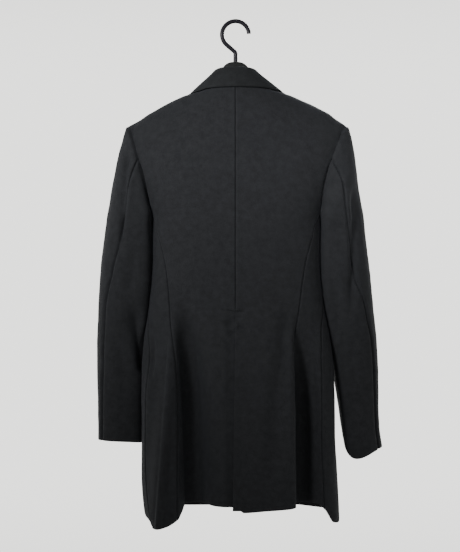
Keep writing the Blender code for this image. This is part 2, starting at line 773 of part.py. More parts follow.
def standing_profile(side, station):
    """Centre line of the folded wall where its stand rises from the neck seam."""
    foot_turn = radians(station.foot_turn)
    foot = torso(side, foot_turn, station.foot_level)
    foot -= torso_normal(side, foot_turn, station.foot_level) * (WALL / 2)
    foot.z += WALL / 2 + FOOT_SEAT
    roll = Vector((side * station.roll_x, station.roll_y, station.roll_z))
    edge_turn = radians(station.edge_turn)
    edge = torso(side, edge_turn, station.edge_level)
    edge += torso_normal(side, edge_turn, station.edge_level) * (WALL / 2 + FALL_SEAT)
    out = Vector((edge.x - roll.x, edge.y - roll.y, 0)).normalized()
    drop = Vector((0, 0, -ROLL_RADIUS))
    inside = roll - out * ROLL_RADIUS + drop
    outside = roll + out * ROLL_RADIUS + drop
    puff = (out + Vector((0, 0, 1))).normalized() * FALL_PUFF
    return [foot, foot.lerp(inside, STAND_BOW), inside, roll, outside,
            outside.lerp(edge, 0.5) + puff, edge]


def lying_profile(side, station):
    """Centre line of the folded wall where it lies on the front along the roll line."""
    def above(turn, level, lift):
        return torso(side, turn, level) + torso_normal(side, turn, level) * (WALL / 2 + lift)

    level = station.foot_level
    roll_turn = front_edge_turn(side, level)
    foot_turn = turn_at_x(side, level, curve(ROLL, "level", side_name(side), level) + STAND_TUCK, -1)
    edge_turn = radians(station.edge_turn)
    fold = 2 * ROLL_RADIUS + STAND_SEAT
    inward = above(roll_turn, level, fold / 2) - above(foot_turn, level, fold / 2)
    roll = above(roll_turn, level, fold / 2) + inward.normalized() * ROLL_RADIUS
    return [above(foot_turn, level, STAND_SEAT), above((foot_turn + roll_turn) / 2, level, STAND_SEAT),
            above(roll_turn, level, STAND_SEAT), roll, above(roll_turn, level, fold),
            above((roll_turn + edge_turn) / 2, (level + station.edge_level) / 2, fold),
            above(edge_turn, station.edge_level, FALL_SEAT)]


def collar_profile(side, station):
    """Centre line from foot to fall edge; it goes over the front's neck corner in a low hump."""
    standing = standing_profile(side, station)
    if station.lift <= 0:
        return standing
    lying = lying_profile(side, station)
    hump = Vector((0, -1, 1)).normalized() * (CORNER_RISE * 4 * station.lift * (1 - station.lift))
    return [a.lerp(b, station.lift) + hump for a, b in zip(standing, lying)]


def collar_station(place):
    """Row of the collar's table at a place between its rows."""
    values = []
    for column in Station._fields:
        numbered = [Pair(index, getattr(row, column)) for index, row in enumerate(COLLAR)]
        values.append(curve(numbered, "place", "value", place))
    return Station(*values)


def build_collar(surface, collection):
    stations = [collar_station((len(COLLAR) - 1) * step / COLLAR_STEPS) for step in range(COLLAR_STEPS + 1)]
    lines = [collar_profile(-1, station) for station in reversed(stations[1:])]
    lines += [collar_profile(1, station) for station in stations]
    rows = []
    for i, line in enumerate(lines):
        before, after = lines[max(i - 1, 0)], lines[min(i + 1, len(lines) - 1)]
        row = []
        for j, point in enumerate(line):
            along = after[j] - before[j]
            down = line[min(j + 1, len(line) - 1)] - line[max(j - 1, 0)]
            normal = down.cross(along).normalized()
            row.append((point + normal * (WALL / 2), normal))
        rows.append(row)
    return cloth("collar", rows, surface, collection)


def build_lapel(side, surface, collection):
    rows = []
    for i in range(LAPEL_ROWS + 1):
        fall = i / LAPEL_ROWS
        row_level = LAPEL_TOP + (BREAK - LAPEL_TOP) * fall
        width = curve(LAPEL, "level", side_name(side), row_level)
        roll_x = curve(ROLL, "level", side_name(side), row_level)
        row = []
        for j in range(LAPEL_COLUMNS + 1):
            share = j / LAPEL_COLUMNS
            level = row_level - GORGE_SLOPE * width * share * (1 - fall) ** 2
            turn = turn_at_x(side, level, roll_x + width * share, -1)
            point, normal = dipped(side, turn, level, front_dip(side, turn, level))
            lift = WALL + LAPEL_LIFT + LAPEL_PUFF * sin(pi * share) * (1 - fall)
            row.append((point + normal * lift, normal))
        rows.append(row)
    return cloth("lapel_" + side_name(side), rows, surface, collection)


def build_button(number, height, surface, collection):
    """Round button, lying on the slope of the right front."""
    normal = torso_normal(-1, pi, height)
    seat = torso(-1, pi, height) + normal * (BUTTON_SEAT + BUTTON_THICKNESS / 2)
    bpy.ops.mesh.primitive_cylinder_add(vertices=BUTTON_SIDES, radius=BUTTON_RADIUS, depth=BUTTON_THICKNESS,
                                        location=seat, rotation=normal.to_track_quat("Z", "Y").to_euler())
    button = bpy.context.object
    button.name = "button_%d" % number
    button.data.materials.append(surface)
    rounding = button.modifiers.new("rounding", "BEVEL")
    rounding.width = BUTTON_ROUNDING
    rounding.segments = 1
    button.data.shade_smooth()
    button.data.set_sharp_from_angle(angle=radians(40))
    move_to(button, collection)
    return button


def move_to(piece, collection):
    for holder in list(piece.users_collection):
        holder.objects.unlink(piece)
    collection.objects.link(piece)


def build_hook(surface, collection):
    """Hook: a loop that ends in a slanting run and the stem."""
    points = []
    for step in range(HOOK_STEPS + 1):
        turn = radians(LOOP_START + (LOOP_END - LOOP_START) * step / HOOK_STEPS)
        points.append((-LOOP_RADIUS * cos(turn), 0, LOOP_CENTRE + LOOP_RADIUS * sin(turn)))
    last = Vector(points[-1])
    bend = Vector((0, 0, STEM_TOP))
    for mark in SLANT_MARKS:
        points.append(last.lerp(bend, mark))
    points.append((0, 0, STEM_TOP - STEM_BEND / 4))
    points.append((0, 0, STEM_TOP - STEM_BEND))
    points.append((0, 0, HANGER_NECK + GAP))
    data = bpy.data.curves.new("hook", "CURVE")
    data.dimensions = "3D"
    data.bevel_depth = HOOK_RADIUS
    data.bevel_resolution = 2
    data.use_fill_caps = True
    spline = data.splines.new("POLY")
    spline.points.add(len(points) - 1)
    for target, point in zip(spline.points, points):
        target.co = (*point, 1)
    data.materials.append(surface)
    hook = bpy.data.objects.new("hook", data)
    collection.objects.link(hook)
    return hook


def hanger_top(side, x):
    """Top line of the hanger: the raised neck, then under the shoulder cloth."""
    ridge = [Pair(getattr(row, side_name(side) + "_x"), getattr(row, side_name(side) + "_z")) for row in RIDGE]
    seat = curve(ridge, "place", "value", x)
    near = curve(ridge, "place", "value", x - PROBE)
    far = curve(ridge, "place", "value", x + PROBE)
    slant = sqrt(1 + ((far - near) / (2 * PROBE)) ** 2)
    neck_point = RIDGE[0].left_x + NECK_RUN
    if x >= neck_point:
        return seat - (WALL + GAP) * slant - HANGER_SEAT
    if x <= HUMP_HALF:
        return HANGER_NECK - HUMP_FALL * (x / HUMP_HALF) ** HUMP_POWER
    start = HANGER_NECK - HUMP_FALL
    share = (x - HUMP_HALF) / (neck_point - HUMP_HALF)
    neck_seat = hanger_top(side, neck_point)
    return start + (neck_seat - start) * (1 - (1 - share) ** SWEEP)


def build_hanger(surface, collection):
    """Hanger: a bar of rounded section, deeper at its neck."""
    places = [(-1, x) for x in reversed(HANGER_STOPS[1:])] + [(1, x) for x in HANGER_STOPS]
    half = BAR_THICKNESS / 2
    corner = BAR_CORNER
    bm = bmesh.new()
    rings = []
    for side, x in places:
        top = hanger_top(side, x)
        low = top - BAR_HEIGHT - NECK_HEIGHT * ramp(*NECK_SPREAD, x)
        outline = [(half - corner, top), (half, top - corner), (half, low + corner),
                   (half - corner, low), (corner - half, low), (-half, low + corner),
                   (-half, top - corner), (corner - half, top)]
        rings.append([bm.verts.new((side * x, y, z)) for y, z in outline])
    for first, second in zip(rings, rings[1:]):
        for k in range(len(first)):
            after = (k + 1) % len(first)
            bm.faces.new((first[k], first[after], second[after], second[k]))
    bm.faces.new(rings[0])
    bm.faces.new(rings[-1])
    return finish("hanger", bm, surface, collection)


def main():
    for old in list(bpy.data.objects):
        bpy.data.objects.remove(old, do_unlink=True)
    parts = bpy.data.collections.new("fitted_jacket_on_hanger")
    bpy.context.scene.collection.children.link(parts)
    wool = {name: material(name, (0.020, 0.021, 0.024), 0.85) for name in (
        "wool_back", "wool_side", "wool_front", "wool_lapel", "wool_sleeve", "wool_collar")}
    horn = material("button_horn", (0.012, 0.012, 0.013), 0.35)
    plastic = material("hanger_plastic", (0.010, 0.010, 0.011), 0.40)
    for side in (1, -1):
        build_back(side, wool["wool_back"], parts)
        build_side(side, wool["wool_side"], parts)
        build_front(side, wool["wool_front"], parts)
        build_lapel(side, wool["wool_lapel"], parts)
        build_sleeve(side, True, wool["wool_sleeve"], parts)
        build_sleeve(side, False, wool["wool_sleeve"], parts)
    build_collar(wool["wool_collar"], parts)
    for number, height in enumerate(BUTTON_HEIGHTS, start=1):
        build_button(number, height, horn, parts)
    build_hook(plastic, parts)
    build_hanger(plastic, parts)


main()
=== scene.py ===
"""Looks of the fitted jacket on its hanger: fine cloth, seams, folds, buttons and finishes.

Metres, +Z up, origin at the inside top of the hook's loop. The back faces +Y and
the wearer's left is +X. Tables are in millimetres and degrees. Every cloth piece is
a thin shell on the same surface as its solid, with seams, edges and creases added.
"""

from collections import namedtuple
from math import cos, pi, radians, sin

import bpy
import numpy as np
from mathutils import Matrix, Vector, noise


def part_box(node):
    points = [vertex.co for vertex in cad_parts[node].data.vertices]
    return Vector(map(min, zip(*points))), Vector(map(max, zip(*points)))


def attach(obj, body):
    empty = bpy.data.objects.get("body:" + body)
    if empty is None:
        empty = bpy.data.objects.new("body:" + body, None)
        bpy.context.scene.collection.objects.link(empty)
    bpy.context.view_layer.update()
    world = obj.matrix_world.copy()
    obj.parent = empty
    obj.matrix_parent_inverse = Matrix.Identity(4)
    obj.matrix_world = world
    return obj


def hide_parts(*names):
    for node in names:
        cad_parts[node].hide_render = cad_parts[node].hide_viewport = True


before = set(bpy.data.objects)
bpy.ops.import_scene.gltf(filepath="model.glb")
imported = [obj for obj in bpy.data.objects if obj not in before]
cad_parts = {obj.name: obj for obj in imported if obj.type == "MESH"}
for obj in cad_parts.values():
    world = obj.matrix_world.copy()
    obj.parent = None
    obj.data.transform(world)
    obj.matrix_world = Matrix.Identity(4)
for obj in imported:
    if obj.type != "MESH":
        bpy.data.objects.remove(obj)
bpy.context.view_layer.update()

# Cloth and its grid
CLOTH = 0.0018          # thickness of the shell
COLLAR_CLOTH = 0.0026
LAYER = 0.0026          # one cloth layer and its gap, where a layer passes under another
SPACING = 0.0032        # between grid lines away from the edges
EDGE_STEPS = (0.0, 0.0004, 0.0009, 0.0015, 0.0023, 0.0034, 0.0050)
EDGE_ROUND = 0.46       # share of the thickness that an edge is rounded by
HEM_ALLOWANCE = 0.034
HEM_STEP = 0.0007
HEM_BLEND = 0.0008
# The next two are near the real sizes and set how the grid lines are spaced
PANEL_WIDTHS = {"back": 0.125, "side": 0.075, "front": 0.20, "sleeve": 0.165}
SKIRT_LENGTH = 0.38
SHOULDER_ROWS = 28
WAIST_ROWS = 56
ARM_STEP = 3.0          # degrees of the armhole between rows

# Heights of the main lines
NECK = -0.118
SHOULDER = -0.190
UNDERARM = -0.365
VENT_TOP = -0.530
HEM_LEVEL = -0.930
BREAK = -0.372          # where the lapel's roll ends
WAIST_ROW = -0.372      # first level at which the princess and side seams are read

# Over this cosine of the turn, folds and creases fade out towards the sides
FACE_FADE = (0.0, 0.25)

# Armhole, and where its groove fades into the seams above and below it
ARM_HALF_DEPTH = 0.042
SEAM_TURN = 150         # where the princess and side seams leave it
SIDE_TOP = 0.019        # from there down to the waist row, for the spacing of so many rows
SIDE_TOP_ROWS = 6
ARM_TOP = {1: 0.200, -1: 0.207}
ARM_FOOT = {1: 0.1545, -1: 0.1565}
ARM_BOW = {1: 0.006, -1: 0.014}
ARM_FADE_TOP = (SHOULDER + 0.004, SHOULDER - 0.006)
ARM_FADE_FOOT = (-0.012, 0.004)

# Centre front and vent; pairs are where an effect starts and where it is full
FRONT_DIP = (0.075, 0.040)
FRONT_DIP_ROWS = (-0.300, -0.340)
UNDERLAP = 0.035
UNDERLAP_ROWS = (VENT_TOP + 1e-4, VENT_TOP - 0.004)
UNDERLAP_COLUMNS = ((0, 0.2, 0.36, 1), (0, 0.10, 0.20, 1))
VENT_DIP = (0.020, 0.009)
VENT_DIP_ROWS = (VENT_TOP + 0.004, VENT_TOP - 0.020)
VENT_LAP = 0.006
VENT_OPEN = 0.0022      # the upper panel stands off by this at its edge
VENT_OPEN_ROWS = (VENT_TOP - 0.030, VENT_TOP - 0.110)
VENT_OPEN_SPREAD = 0.014

# Softening of the line that runs in from the shoulder point
SOFT_START = (-0.168, -0.182)
SOFT_END = (-0.275, -0.245)
SOFT_BACK = (0.03, 0.08)
SOFT_FRONT = (0.118, 0.145)
SOFT_ROUNDS = 160

Ridge = namedtuple("Ridge", "level left_z left_x right_z right_x")
Depth = namedtuple("Depth", "level back front square")
Width = namedtuple("Width", "level left right")
Fold = namedtuple("Fold", "side face top_x hem_x inner outer depth start full")
Hem = namedtuple("Hem", "turn z")
Ring = namedtuple("Ring", "inner_x inner_z outer_x outer_z mid_y half_depth back_drop elbow")
Station = namedtuple("Station", "foot_turn foot_level lift roll_x roll_y roll_z edge_turn edge_level")
Crease = namedtuple("Crease", "line minus plus depth head foot")
Seam = namedtuple("Seam", "depth half rise near far")


def rows(kind, table, plain=""):
    """Named rows of a table in millimetres; the columns in plain are degrees or bare numbers."""
    parts = [1 if column in plain.split() else 1000 for column in kind._fields]
    return [kind(*(value / part for value, part in zip(row, parts))) for row in table]


def creases(*table):
    """Creases of a table in millimetres: each line's points, then its sizes."""
    return [Crease(np.array(line) / 1000, *(size / 1000 for size in sizes)) for line, *sizes in table]


# Grooves at the seams, and the rise beside them over the allowances or the sleeve head
PLAIN = Seam(0.0019, 0.0011, 0.00035, 0.0030, 0.012)
CENTRE = Seam(0.0015, 0.0011, 0.00020, 0.0030, 0.012)
ELBOW = Seam(0.0030, 0.0026, 0.00030, 0.0060, 0.014)
ARMHOLE = Seam(0.0052, 0.0021, 0.00040, 0.0050, 0.014)
SLEEVE_HEAD = Seam(0.0052, 0.0021, 0.00130, 0.0060, 0.034)

RIDGE = rows(Ridge, (
    (-118, -133, 68, -129, 68),
    (-124, -134.5, 81, -130, 83),
    (-130, -136.5, 95, -134, 99),
    (-138, -142.5, 110, -141.5, 117),
    (-147, -150, 126, -149, 134),
    (-155, -157, 139, -156, 148),
    (-164, -165, 152, -164.5, 165),
    (-172, -172.3, 166, -172.2, 179),
    (-181, -181, 181, -181, 193),
    (-190, -190, 200, -190, 207),
))
DEPTHS = rows(Depth, (
    (-118, 50, 46, 1.85),
    (-150, 60, 58, 1.85),
    (-190, 69, 70, 1.95),
    (-250, 77, 80, 2.4),
    (-320, 78, 84, 2.6),
    (-365, 76, 82, 2.6),
    (-440, 69, 76, 2.5),
    (-520, 64, 72, 2.4),
    (-600, 67, 73, 2.4),
    (-700, 72, 74, 2.4),
    (-930, 75, 75, 2.4),
), "square")
WIDTHS = rows(Width, (
    (-365, 154.5, 156.5),
    (-440, 153.5, 155.5),
    (-520, 159.5, 163),
    (-580, 168.5, 174),
    (-640, 173.5, 182),
    (-700, 174, 184),
    (-775, 171, 185),
    (-840, 167, 189),
    (-905, 161, 192),
    (-930, 159, 193),
))
PRINCESS = rows(Width, (
    (-372, 148.5, 146),
    (-408, 138, 137),
    (-435, 131, 130),
    (-466, 125.6, 124),
    (-504, 121.5, 118.8),
    (-550, 118, 114),
    (-603, 112, 110.5),
    (-700, 108, 110),
    (-930, 106, 110),
))
SIDE_SEAM = rows(Width, (
    (-372, 104, 104),
    (-450, 97, 97),
    (-510, 86, 80),
    (-568, 69, 61),
    (-630, 60, 55),
    (-750, 61, 54),
    (-930, 67, 53),
), "left right")
ROLL = rows(Width, (
    (-118, 60, 60),
    (-150, 56.5, 56.5),
    (-190, 49, 49),
    (-250, 36, 36),
    (-320, 18, 18),
    (-372, 2, 2),
    (-410, -15, -15),      # each front passes the centre by this
    (-930, -15, -15),
))
HEM = {
    1: rows(Hem, (
        (0, -885.5), (16, -884.5), (24, -884), (31, -884.5), (35, -897),
        (39, -911), (49, -924), (62, -927.5), (66, -926.5), (70, -916),
        (76, -910.5), (90, -908.5), (120, -906.5), (185, -905.5),
    ), "turn"),
    -1: rows(Hem, (
        (-4, -891.5), (2.8, -891.8), (3.6, -895.5), (18, -892), (28, -888.5),
        (33, -885.5), (38, -884), (46, -883.5), (53, -893.5), (64, -919.5),
        (76, -922), (90, -912), (120, -906.5), (185, -905.5),
    ), "turn"),
}
FOLDS = rows(Fold, (
    (1, 1, 94, 80, 32, 15, -34, -520, -720),
    (1, 1, 122, 148, 22, 12, 24, -560, -800),
    (-1, 1, 98, 104, 34, 11, 10, -540, -740),
    (-1, 1, 117, 122, 10, 26, -36, -530, -720),
    (1, -1, 100, 112, 26, 22, 10, -580, -800),
    (-1, -1, 104, 118, 28, 24, 11, -580, -800),
), "side face")
SLEEVE = {
    1: rows(Ring, (
        (154.5, -365, 200, -190, 0, 42, 0, 75),
        (155, -361.8, 205, -204.5, 0, 44.5, 0, 76),
        (155.4, -361.2, 212, -227, -1, 48, 0, 77),
        (155.6, -363.5, 219, -252, -3, 52, 0, 78),
        (155.6, -369, 226, -284, -6, 55.5, 0, 79),
        (155, -377, 233, -322, -10, 58, 0, 80),
        (154, -392, 241, -366, -17, 59.5, 0, 78),
        (153, -420, 248, -418, -24, 60, 0, 72),
        (153.2, -470, 253.8, -470, -28, 57, 0, 59),
        (157.5, -530, 257.6, -530, -32, 53, 0, 48),
        (166.5, -600, 260.2, -600, -37, 50, 0, 47),
        (170.5, -680, 260.3, -680, -41, 44, 0, 43),
        (172.2, -740, 259, -740, -43, 38, 0, 38),
        (173, -780.5, 259, -777.5, -43, 34, 1, 37),
    ), "elbow"),
    -1: rows(Ring, (
        (156.5, -365, 207, -190, 0, 42, 0, 75),
        (157, -361.8, 212.5, -204.5, 0, 44.5, 0, 76),
        (157.4, -361.2, 217.5, -226, -1, 48, 0, 77),
        (157.6, -363.5, 221.7, -250, -3, 52, 0, 78),
        (157.6, -369, 226.2, -284, -6, 55.5, 0, 79),
        (157, -377, 232.2, -322, -10, 58, 0, 80),
        (156, -392, 240, -366, -17, 59.5, 0, 80),
        (154.8, -420, 246.5, -420, -24, 60, 0, 77),
        (155.3, -470, 253.2, -470, -27, 57, 0, 69),
        (161.5, -530, 259, -530, -29, 53, 0, 52),
        (176, -600, 266, -600, -32, 50, 0, 44),
        (188.5, -680, 269, -680, -36, 44, 0, 41),
        (196.5, -738, 270.5, -745, -39, 38, -10, 39),
        (201.5, -771, 276.5, -790, -40, 34, -26.5, 38),
    ), "elbow"),
}

# Sleeves; places are counted in rings of the table from the armhole down
FRONT_SLEEVE_SEAM = 255
FIRST_RING = 1.4        # the sleeve runs straight from the armhole to here
RING_STEP = 0.02        # to each side, for the slope that gives a normal
BOW_RINGS = (4.0, 0.0)  # where the armhole's bow starts to show in the sleeve and where it is full
CORNER_RINGS = (0.0, 2.0)       # the same for the pressed corner
CUFF_SKEW = {1: 0.0, -1: 0.9}
FRONT_CUFF = 0.5
NESTLE = 0.0015         # the sleeve's inner side leans on the body by this
NESTLE_COSINE = (-0.55, -0.85)  # where the leaning starts and is full round the sleeve, as a cosine
NESTLE_TOP = (0.0, 0.6)         # the same in rings, from above and from below
NESTLE_FOOT = (8.6, 7.0)
PRESSED = 4.5           # 2 is a round inner corner at the sleeve's back, more is a flatter one

# Collar
COLLAR = rows(Station, (
    (0, -118, 0, 0, 45, -89.5, 0, -127),
    (22, -118, 0, 19, 43, -89.5, 20, -126.8),
    (45, -118, 0, 33, 35, -91.5, 42, -126.5),
    (68, -118, 0, 42, 20, -97.5, 66, -126),
    (90, -118, 0, 46.5, 0, -106, 90, -125.5),
    (102, -118, 0, 48, -17, -116.5, 104, -131),
    (110, -120, 1, 50, -30, -130, 113, -140),
    (117, -131, 1, 53, -40, -140, 121, -150),
    (125, -147, 1, 53, -46, -147, 130, -160),
), "foot_turn lift edge_turn")
ROLL_RADIUS = 0.0019
FALL_PUFF = 0.0015
FALL_SEAT = 0.0020      # the fall stands off the back by this, and by less near the shoulders
FALL_SEAT_LOW = 0.0004
FALL_SEAT_SPAN = (0.068, 0.050)
CORNER_RISE = 0.004
CORNER_SHARES = (1, 1, 1, 1, 1, 0.8, 0.15)
COLLAR_PARTS = (7, 7, 5, 5, 7, 8)      # steps between the points of the collar's profile
COLLAR_LINES = 61                      # profiles from the middle of the back to each end
STAND_SEAT = 0.0012
STAND_TUCK = 0.008

# Lapels
LAPEL_TOP = -0.153
LAPEL_LENGTH = 0.22     # this and the next two set how the grid lines are spaced
LAPEL_SPREAD = 0.055
LAPEL_SPACING = 0.003
GORGE_SLOPE = 0.55
LAPEL_LIFT = 0.0003
LAPEL_PUFF = 0.0030
LAPEL = rows(Width, (
    (-153, 62, 62),
    (-190, 66, 66),
    (-240, 60, 60),
    (-300, 44, 44),
    (-350, 22, 22),
    (-372, 9, 9),
))

# Hanger and hook
HOOK_RADIUS = 0.0040
LOOP_RADIUS = 0.025
LOOP_CENTRE = -0.0214
LOOP_START = 4          # degrees round the loop
LOOP_END = 230
LOOP_POINTS = 60
STEM_TOP = -0.0545
HANGER_NECK = -0.072
HUMP_HALF = 0.022
HUMP_FALL = 0.0085
HUMP_POWER = 3
ARM_END = 0.188
ARM_ROUND = 0.006       # length over which the bar's end closes, and how far it shrinks
ARM_SHRINK = 0.0045
BAR_THICKNESS = 0.011
BAR_HEIGHT = 0.013
BAR_CORNER = 0.0042
NECK_HEIGHT = 0.022
NECK_SPREAD = (0.050, 0.015)    # the bar grows to the neck's height between these
NECK_RUN = 0.004
NECK_END = 0.047
SWEEP = 1.8             # more bends the neck's slope more
HANGER_SEAT = 0.0008    # further clearance below the sloping cloth
HANGER_GAP = 0.0003

# Buttons, threads and stitches
BUTTON_HEIGHTS = (-0.425, -0.530, -0.635)
BUTTON_RADIUS = 0.010
BUTTON_THICKNESS = 0.0035
BUTTON_SIDES = 64
BUTTON_PROFILE = (              # share of the radius, share of the thickness
    (0.0, 0.66), (0.34, 0.66), (0.56, 0.68), (0.66, 0.76), (0.72, 0.92), (0.78, 0.99), (0.84, 1.00),
    (0.91, 0.97), (0.97, 0.88), (1.0, 0.72), (1.0, 0.50), (0.97, 0.26), (0.90, 0.10), (0.78, 0.02),
    (0.60, 0.0), (0.0, 0.0))
HOLE_RADIUS = 0.00095
HOLE_PLACE = 0.0019
DRILL_LENGTH = 0.012
THREAD_RADIUS = 0.00021
THREAD_STEP = 0.00036
THREAD_SINK = 0.0009    # its ends lie this far under the dish, and its middle rises so high from there
THREAD_RISE = 0.0016
BUTTONHOLE = (0.0040, -0.0205, 0.0012)  # its two ends and half its height
STITCH_RADIUS = 0.00065
STITCH_LIFT = 0.0004
TACK = (0.0025, -0.0055)
TACK_SINK = np.array((0, -0.0001, -0.0004))

# Creases: a line of (x, z) points, the spread on its -x and +x sides, its depth,
# and the lengths over which its two ends fade
BACK_CREASES = creases(
    (((122, -560), (119, -606), (129, -746), (142, -930)), 10, 3, 7.2, 60, 10),
    (((149, -600), (155, -746), (165, -930)), 12, 13, 9.5, 80, 30),
    (((113, -500), (109, -620), (107, -930)), 6, 12, 3.5, 80, 10),
    (((97, -490), (89, -600), (84, -700), (79, -930)), 15, 9.5, -9.5, 100, 10),
    (((86, -500), (80, -640), (70, -760), (63, -930)), 22, 18, -8, 100, 10),
    (((-98, -500), (-83, -640), (-71, -720), (-69, -860)), 26, 14, -6.8, 70, 80),
    (((-104, -520), (-105, -640), (-105, -930)), 3, 11, 3.6, 90, 10),
    (((-113, -520), (-115.5, -640), (-116, -930)), 21, 5, -8, 100, 10),
    (((152, -560), (149.5, -620), (151, -665)), 4.5, 4.5, -4, 40, 20),
    (((-150, -560), (-157, -700), (-163, -820)), 8, 8, 2.2, 50, 80),
    (((-136, -560), (-146, -700), (-152, -840)), 6, 6, -1.6, 50, 80),
    (((10, -533), (-2, -536), (-20, -532)), 3.4, 3, -4.2, 8, 14),
    (((6, -544), (-4, -546), (-14, -543)), 3, 2.6, -4, 6, 8),
    (((26, -553), (10, -556), (-3, -554)), 5, 4.4, -3.6, 12, 8),
    (((-1, -560), (-10, -563), (-26, -572)), 4, 4, -3.6, 6, 14),
    (((16, -570), (6, -572), (-1, -573)), 4, 3.4, -3, 8, 6),
    (((52, -470), (30, -520), (22, -590)), 14, 14, -1, 40, 50),
    (((-40, -480), (-22, -530), (-16, -600)), 14, 14, -0.9, 40, 50),
    (((170, -235), (140, -262), (100, -276)), 16, 16, -1.2, 30, 50),
    (((-172, -240), (-140, -270), (-104, -282)), 16, 16, -1.2, 30, 50),
    (((140, -345), (110, -400), (85, -470)), 14, 14, -1.2, 30, 60),
    (((-140, -350), (-112, -405), (-82, -480)), 14, 14, -1.2, 30, 60),
    (((60, -140), (100, -165), (140, -186)), 12, 12, -0.8, 30, 30),
    (((-60, -140), (-105, -165), (-145, -187)), 12, 12, -0.8, 30, 30),
)
FRONT_CREASES = creases(
    (((150, -350), (120, -400), (70, -450), (20, -470)), 13, 13, -2.2, 30, 50),
    (((-150, -345), (-118, -402), (-68, -455), (-18, -480)), 13, 13, -2.4, 30, 50),
    (((60, -530), (70, -640), (78, -800), (80, -900)), 18, 22, -3.4, 80, 40),
    (((-55, -530), (-72, -640), (-76, -800), (-78, -900)), 20, 17, -3.6, 80, 40),
    (((30, -660), (40, -760), (42, -890)), 12, 14, 2, 60, 30),
    (((-36, -670), (-44, -780), (-40, -890)), 13, 12, 1.8, 60, 30),
    (((128, -540), (138, -700), (136, -880)), 12, 12, -2.2, 60, 50),
    (((-132, -540), (-142, -700), (-146, -880)), 12, 12, -2.4, 60, 50),
    (((60, -425), (35, -430), (12, -426)), 6, 6, -1.2, 20, 10),
    (((-55, -418), (-35, -428), (-14, -425)), 6, 6, -1.2, 20, 10),
    (((160, -260), (138, -300), (128, -345)), 12, 12, -1.6, 30, 40),
    (((-166, -262), (-142, -305), (-130, -350)), 12, 12, -1.6, 30, 40),
)
SLEEVE_BACK_CREASES = creases(
    (((196, -235), (200, -277), (205.3, -331), (208, -386), (209, -430)), 5.6, 5.6, -6.2, 20, 50),
    (((190, -510), (179, -575), (164, -655)), 12, 12, -11, 50, 20),
    (((236, -560), (214, -610), (200, -680)), 12, 10, -1.8, 40, 50),
    (((176, -400), (188, -450), (192, -520)), 9, 9, -1.8, 40, 50),
    (((236, -440), (226, -470), (206, -490)), 7, 7, -1.4, 20, 30),
    (((240, -690), (222, -715), (200, -722)), 9, 9, -1.4, 20, 30),
    (((-216.5, -290), (-220, -360), (-216.5, -440), (-212, -560)), 10, 8, -9, 50, 80),
    (((-172, -450), (-186, -520), (-190, -600)), 10, 9, -3, 50, 50),
    (((-242, -520), (-226, -580), (-212, -650)), 10, 12, -2, 40, 50),
    (((-248, -660), (-232, -700), (-216, -715)), 9, 9, -1.6, 20, 30),
    (((-178, -372), (-190, -400), (-196, -440)), 7, 7, -1.6, 20, 30),
)
SLEEVE_FRONT_CREASES = creases(
    (((176, -400), (198, -430), (224, -440)), 9, 9, -2.6, 30, 30),
    (((170, -470), (196, -500), (228, -508)), 10, 10, -3.4, 30, 30),
    (((176, -545), (202, -560), (232, -556)), 9, 9, -2.6, 30, 30),
    (((214, -590), (218, -680), (214, -750)), 10, 10, -1.6, 40, 40),
    (((-180, -405), (-200, -436), (-226, -446)), 9, 9, -2.4, 30, 30),
    (((-176, -480), (-202, -512), (-234, -518)), 10, 10, -3.4, 30, 30),
    (((-186, -560), (-210, -572), (-240, -566)), 9, 9, -2.6, 30, 30),
    (((-222, -600), (-228, -690), (-234, -760)), 10, 10, -1.8, 40, 40),
)


def cubic(xs, ys):
    """Curve through points that never overshoots, for whole arrays of places."""
    order = np.argsort(xs)
    xs = np.array(xs, float)[order]
    ys = np.array(ys, float)[order]
    steps = np.diff(ys) / np.diff(xs)
    before, after = steps[:-1], steps[1:]
    same = before * after > 0
    mean = 2 * before * after / np.where(same, before + after, 1)
    slopes = np.concatenate((steps[:1], np.where(same, mean, 0), steps[-1:]))

    def at(place):
        place = np.clip(place, xs[0], xs[-1])
        i = np.clip(np.searchsorted(xs, place, side="right") - 1, 0, len(xs) - 2)
        width = xs[i + 1] - xs[i]
        t = (place - xs[i]) / width
        return (ys[i] + (ys[i + 1] - ys[i]) * t * t * (3 - 2 * t)
                + width * (slopes[i] * t * (1 - t) ** 2 - slopes[i + 1] * t * t * (1 - t)))

    return at


def column_curve(table, key, column):
    return cubic([getattr(row, key) for row in table], [getattr(row, column) for row in table])


def row_curve(table, column):
    return cubic(list(range(len(table))), [getattr(row, column) for row in table])


SIDES = {1: "left", -1: "right"}


def both(table, key, column):
    """A table's curve for each side, where {} stands for the side in a column's name."""
    return {side: column_curve(table, key.format(name), column.format(name)) for side, name in SIDES.items()}


ridge_x = both(RIDGE, "level", "{}_x")
ridge_z = both(RIDGE, "level", "{}_z")
ridge_line = both(RIDGE, "{}_x", "{}_z")
depth_back = column_curve(DEPTHS, "level", "back")
depth_front = column_curve(DEPTHS, "level", "front")
square = column_curve(DEPTHS, "level", "square")
widths = both(WIDTHS, "level", "{}")
princess = both(PRINCESS, "level", "{}")
side_seam = both(SIDE_SEAM, "level", "{}")
roll = both(ROLL, "level", "{}")
lapel_width = both(LAPEL, "level", "{}")
hem = {side: column_curve(HEM[side], "turn", "z") for side in SIDES}
rings = {side: {column: row_curve(SLEEVE[side], column) for column in Ring._fields} for side in SIDES}
collar_rows = {column: row_curve(COLLAR, column) for column in Station._fields}


def ramp(start, end, at):
    """0 at start, 1 at end, smooth between."""
    t = np.clip((at - start) / (end - start), 0.0, 1.0)
    return t * t * (3 - 2 * t)


def unit(vectors):
    return vectors / np.maximum(np.linalg.norm(vectors, axis=-1, keepdims=True), 1e-12)


def arm_level(turn):
    return UNDERARM + (SHOULDER - UNDERARM) * (1 + np.cos(np.radians(turn))) / 2


